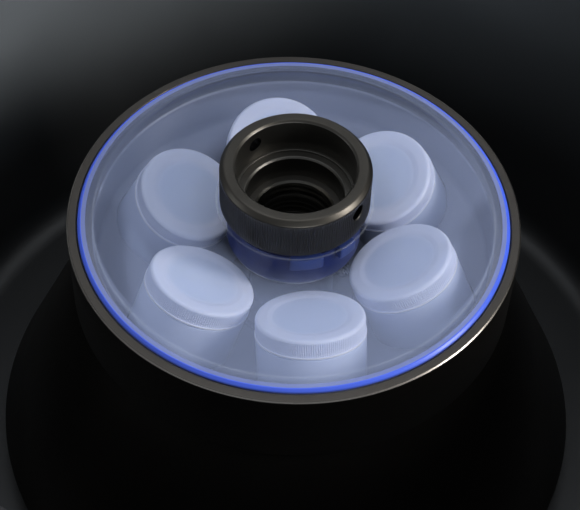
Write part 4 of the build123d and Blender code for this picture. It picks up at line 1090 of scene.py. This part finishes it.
# socket wall: radius = flat / cos(angle from the middle of the nearest flat)
def makeScrews(name, body, places, user, scale=1.0):
    r, high, socket, depth = (user[key] * scale for key in ("radius", "height", "socket", "depth"))
    outline = rounded(
        [(0, high - depth), (socket, high - depth), (socket, high), (r * 0.62, high), (r, high * 0.4),
         (r, 0), (0, 0)],
        {3: high * 0.4, 4: high * 0.25}, 4,
    )

    def hexagonal(radius, z, angle):
        flat = np.cos(math.pi / 6) / np.cos(np.mod(angle, math.pi / 3) - math.pi / 6)
        return np.where(np.abs(radius - socket) < 0.01, radius * flat, radius), z

    addPiece(turnedMesh(name, outline, user.segments, ripple=hexagonal, place=places), screwFinish, body)


# places whose third axis is the direction that a screw's head faces, which isn't across the machine
def facing(spots, normal):
    side = np.cross(normal, (1.0, 0.0, 0.0))
    return [placeOf(side, np.cross(normal, side), normal, spot) for spot in spots]


# six round the hub's flange, and those of the panel, the rear, the fan, the inlet and the lid's liner
placeUser = Values(
    hubRing=31.4, hubTurn=0.3, fasciaX=(-251, 251), fasciaV=(-47, 47),
    rearX=(-280, 280), rearZ=(50, 200, 352), rearTopX=(-95, 95), fan=(-225, 150), fanPitch=(52.5, 60.5),
    inletX=(188, 275), inletZ=92, linerZ=422.9,
    liner=((-296, -300), (-296, -20), (-296, 258), (296, -300), (296, -20), (296, 258), (0, -300)),
)


def placeScrews(user):
    flangeTop = lift + bowlHeight(rotorUser.flat) + hubUser.flangeHeight
    turns = np.arange(6) * math.pi / 3 + user.hubTurn
    ring = [(user.hubRing * math.cos(turn), user.hubRing * math.sin(turn), flangeTop) for turn in turns]
    makeScrews("hub_screws", "rotor", facing(ring, (0, 0, 1)), screwUser)
    corners = [frontPlace(x, v, frontUser.fasciaProud) for x in user.fasciaX for v in user.fasciaV]
    makeScrews("fascia_screws", "cabinet", corners, screwUser, 0.8)
    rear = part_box("rear_panel")[1].y / mm
    spots = [(x, rear, z) for x in user.rearX for z in user.rearZ]
    spots += [(x, rear, user.rearZ[-1]) for x in user.rearTopX]
    (fanX, fanZ), (wide, high) = user.fan, user.fanPitch
    spots += [(fanX + x, rear, fanZ + z) for x in (-wide, wide) for z in (-high, high)]
    makeScrews("rear_panel_screws", "cabinet", facing(spots, (0, 1, 0)), screwUser)
    inlet = [(x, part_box("power_inlet")[1].y / mm, user.inletZ) for x in user.inletX]
    makeScrews("inlet_screws", "cabinet", facing(inlet, (0, 1, 0)), screwUser, 0.6)
    # the liner lies flat when the lid is shut, and stands with the lid at rest
    hinge = jointAt["lid_hinge"]
    pivot = Vector(hinge["pos_m"]) / mm
    swing = Matrix.Rotation(math.radians(-hinge["range_deg"][0]), 4, Vector((-1, 0, 0)))
    stood = np.array(Matrix.Translation(pivot) @ swing @ Matrix.Translation(-pivot))
    flat = [(x, y, user.linerZ) for x, y in user.liner]
    makeScrews("liner_screws", "lid", [stood @ place for place in facing(flat, (0, 0, -1))], screwUser)


placeScrews(placeUser)
print("screws done")


# ---- finishes of the CAD nodes that keep their own shape: kind, colour, roughness and what else differs
finishUser = Values(
    cabinet_paint=(grainedFinish, (0.62, 0.64, 0.64), 0.5,
                   dict(clouds=4.0, grain=650.0, shade=0.95, relief=0.00025)),
    lid_moulding=(grainedFinish, (0.56, 0.58, 0.60), 0.48,
                  dict(clouds=4.0, grain=500.0, shade=0.95, relief=0.0003)),
    liner_enamel=(grainedFinish, (0.78, 0.81, 0.85), 0.4,
                  dict(clouds=5.0, grain=300.0, shade=0.94, relief=0.0001)),
    grey_plastic=(grainedFinish, (0.10, 0.105, 0.11), 0.52, dict(grain=800.0)),
    display_glass=(grainedFinish, (0.012, 0.014, 0.016), 0.12, dict(grain=200.0, relief=0.00002, coat=0.6)),
    port_glass=(grainedFinish, (0.30, 0.34, 0.36), 0.12, dict(relief=0.00002, coat=0.5)),
    display_black=(grainedFinish, (0.02, 0.02, 0.02), 0.5, {}),
    circuit_board=(grainedFinish, (0.02, 0.10, 0.04), 0.4, {}),
    zinc_sheet=(spangleFinish, (0.52, 0.54, 0.56), 0.42, {}),
    barrier_steel=(brushedFinish, (0.25, 0.25, 0.26), 0.5, {}),
    cast_motor=(grainedFinish, (0.32, 0.33, 0.34), 0.55, dict(grain=400.0, relief=0.0004, metallic=0.7)),
    core_iron=(brushedFinish, (0.22, 0.21, 0.20), 0.5, dict(stretch=(2.0, 2.0, 500.0))),
    bearing_steel=(turnedFinish, (0.60, 0.60, 0.61), 0.2, {}),
    spring_steel=(turnedFinish, (0.40, 0.40, 0.41), 0.3, {}),
    plated_steel=(brushedFinish, (0.62, 0.63, 0.64), 0.3, {}),
    black_plastic=(grainedFinish, (0.025, 0.026, 0.028), 0.5, {}),
    switch_plastic=(grainedFinish, (0.03, 0.03, 0.032), 0.35, {}),
    button_grey=(grainedFinish, (0.40, 0.42, 0.44), 0.45, {}),
    button_green=(grainedFinish, (0.05, 0.32, 0.12), 0.45, {}),
    button_red=(grainedFinish, (0.45, 0.035, 0.03), 0.45, {}),
)
finishes = {
    "black_rubber": rubberFinish, "chamber_black": chamberFinish, "rotor_anodised": rotorFinish,
    "knob_anodised": knobFinish, "hub_steel": hubFinish, "clear_blue_lid": coverFinish,
    "bottle_plastic": bottleFinish, "cap_plastic": bottleFinish,
}
for name, (kind, colour, rough, more) in finishUser.items():
    finishes[name] = kind(name, colour, rough, **more)
for part in frame["record"]["subparts"]:
    materials = nodes[part["node"]].data.materials
    materials.clear()
    materials.append(finishes[part["material_slot"]])
print("finishes set on", len(nodes), "nodes")


# ---- floor, lamps and world
stageUser = Values(floorColour=(0.72, 0.72, 0.71), floorSize=60.0, world=(0.88, 0.93, 1.0), worldLevel=0.28,
                   backdrop=(0.80, 0.81, 0.82), fade=(0.8, 2.4))


# flat square; far from the machine the camera sees the backdrop's plain colour in its place
def makeFloor(user):
    finish = Finish("floor_paint")
    clouds = finish.noise(1.2, 3.0)
    finish.feed("Base Color", clouds.blend(shaded(user.floorColour, 0.97), user.floorColour))
    finish.feed("Roughness", clouds * 0.1 + 0.6)
    seen = clouds.node("ShaderNodeLightPath", output="Is Camera Ray")
    far = finish.radius().step(*user.fade) * seen
    paint = Field(finish.tree, finish.shader.outputs["BSDF"])
    plain = far.node("ShaderNodeEmission", None, {"Color": (*user.backdrop, 1.0), "Strength": 1.0})
    mixed = far.node("ShaderNodeMixShader", None, {0: far, 1: paint, 2: plain})
    finish.tree.links.new(mixed.socket, finish.tree.nodes["Material Output"].inputs["Surface"])
    half = user.floorSize / 2
    corners = [(-half, -half, 0), (half, -half, 0), (half, half, 0), (-half, half, 0)]
    mesh = bpy.data.meshes.new("floor")
    mesh.from_pydata(corners, [], [(0, 1, 2, 3)])
    addPiece(mesh, finish.material)


makeFloor(stageUser)

# place, what the lamp looks at, width and height (m), power (W), colour
lampUser = Values(
    ceiling=((0, 1.3, 3.0), (0, 1.3, 0), (3.6, 4.4), 42.0, (0.92, 0.96, 1.0)),
    window_right=((1.55, -0.41, 1.17), (0, 0, 0.38), (0.42, 0.8), 23.0, (1.0, 0.97, 0.93)),
    front=((0.7, -2.8, 0.80), (0, 0, 0.62), (2.0, 0.6), 20.0, (0.94, 0.97, 1.0)),
    back=((-1.4, 2.6, 1.3), (0, 0, 0.5), (1.6, 1.2), 16.0, (1.0, 0.98, 0.95)),
    left=((-2.8, -0.4, 0.75), (0, 0, 0.5), (1.2, 0.8), 9.0, (0.90, 0.95, 1.0)),
)


def makeLamps(user):
    for name, (place, aim, size, power, colour) in user.items():
        lamp = bpy.data.lights.new(name, "AREA")
        lamp.shape = "RECTANGLE"
        lamp.size, lamp.size_y = size
        lamp.energy = power
        lamp.color = colour
        holder = bpy.data.objects.new(name, lamp)
        holder.location = place
        holder.visible_camera = False
        holder.rotation_euler = (Vector(aim) - Vector(place)).to_track_quat("-Z", "Y").to_euler()
        bpy.context.scene.collection.objects.link(holder)


makeLamps(lampUser)


# soft sky light for the object, and a pale backdrop where the camera sees past it
def makeWorld(user):
    world = bpy.data.worlds.new("studio")
    world.use_nodes = True
    tree = world.node_tree
    seen = Field(tree).node("ShaderNodeLightPath", output="Is Camera Ray")
    background = tree.nodes["Background"]
    sky = shaded(user.world, user.worldLevel)
    tree.links.new(seen.blend(sky, user.backdrop).socket, background.inputs["Color"])
    background.inputs["Strength"].default_value = 1.0
    bpy.context.scene.world = world


makeWorld(stageUser)
bpy.context.scene.view_settings.view_transform = "Standard"
print("stage and lamps ready")
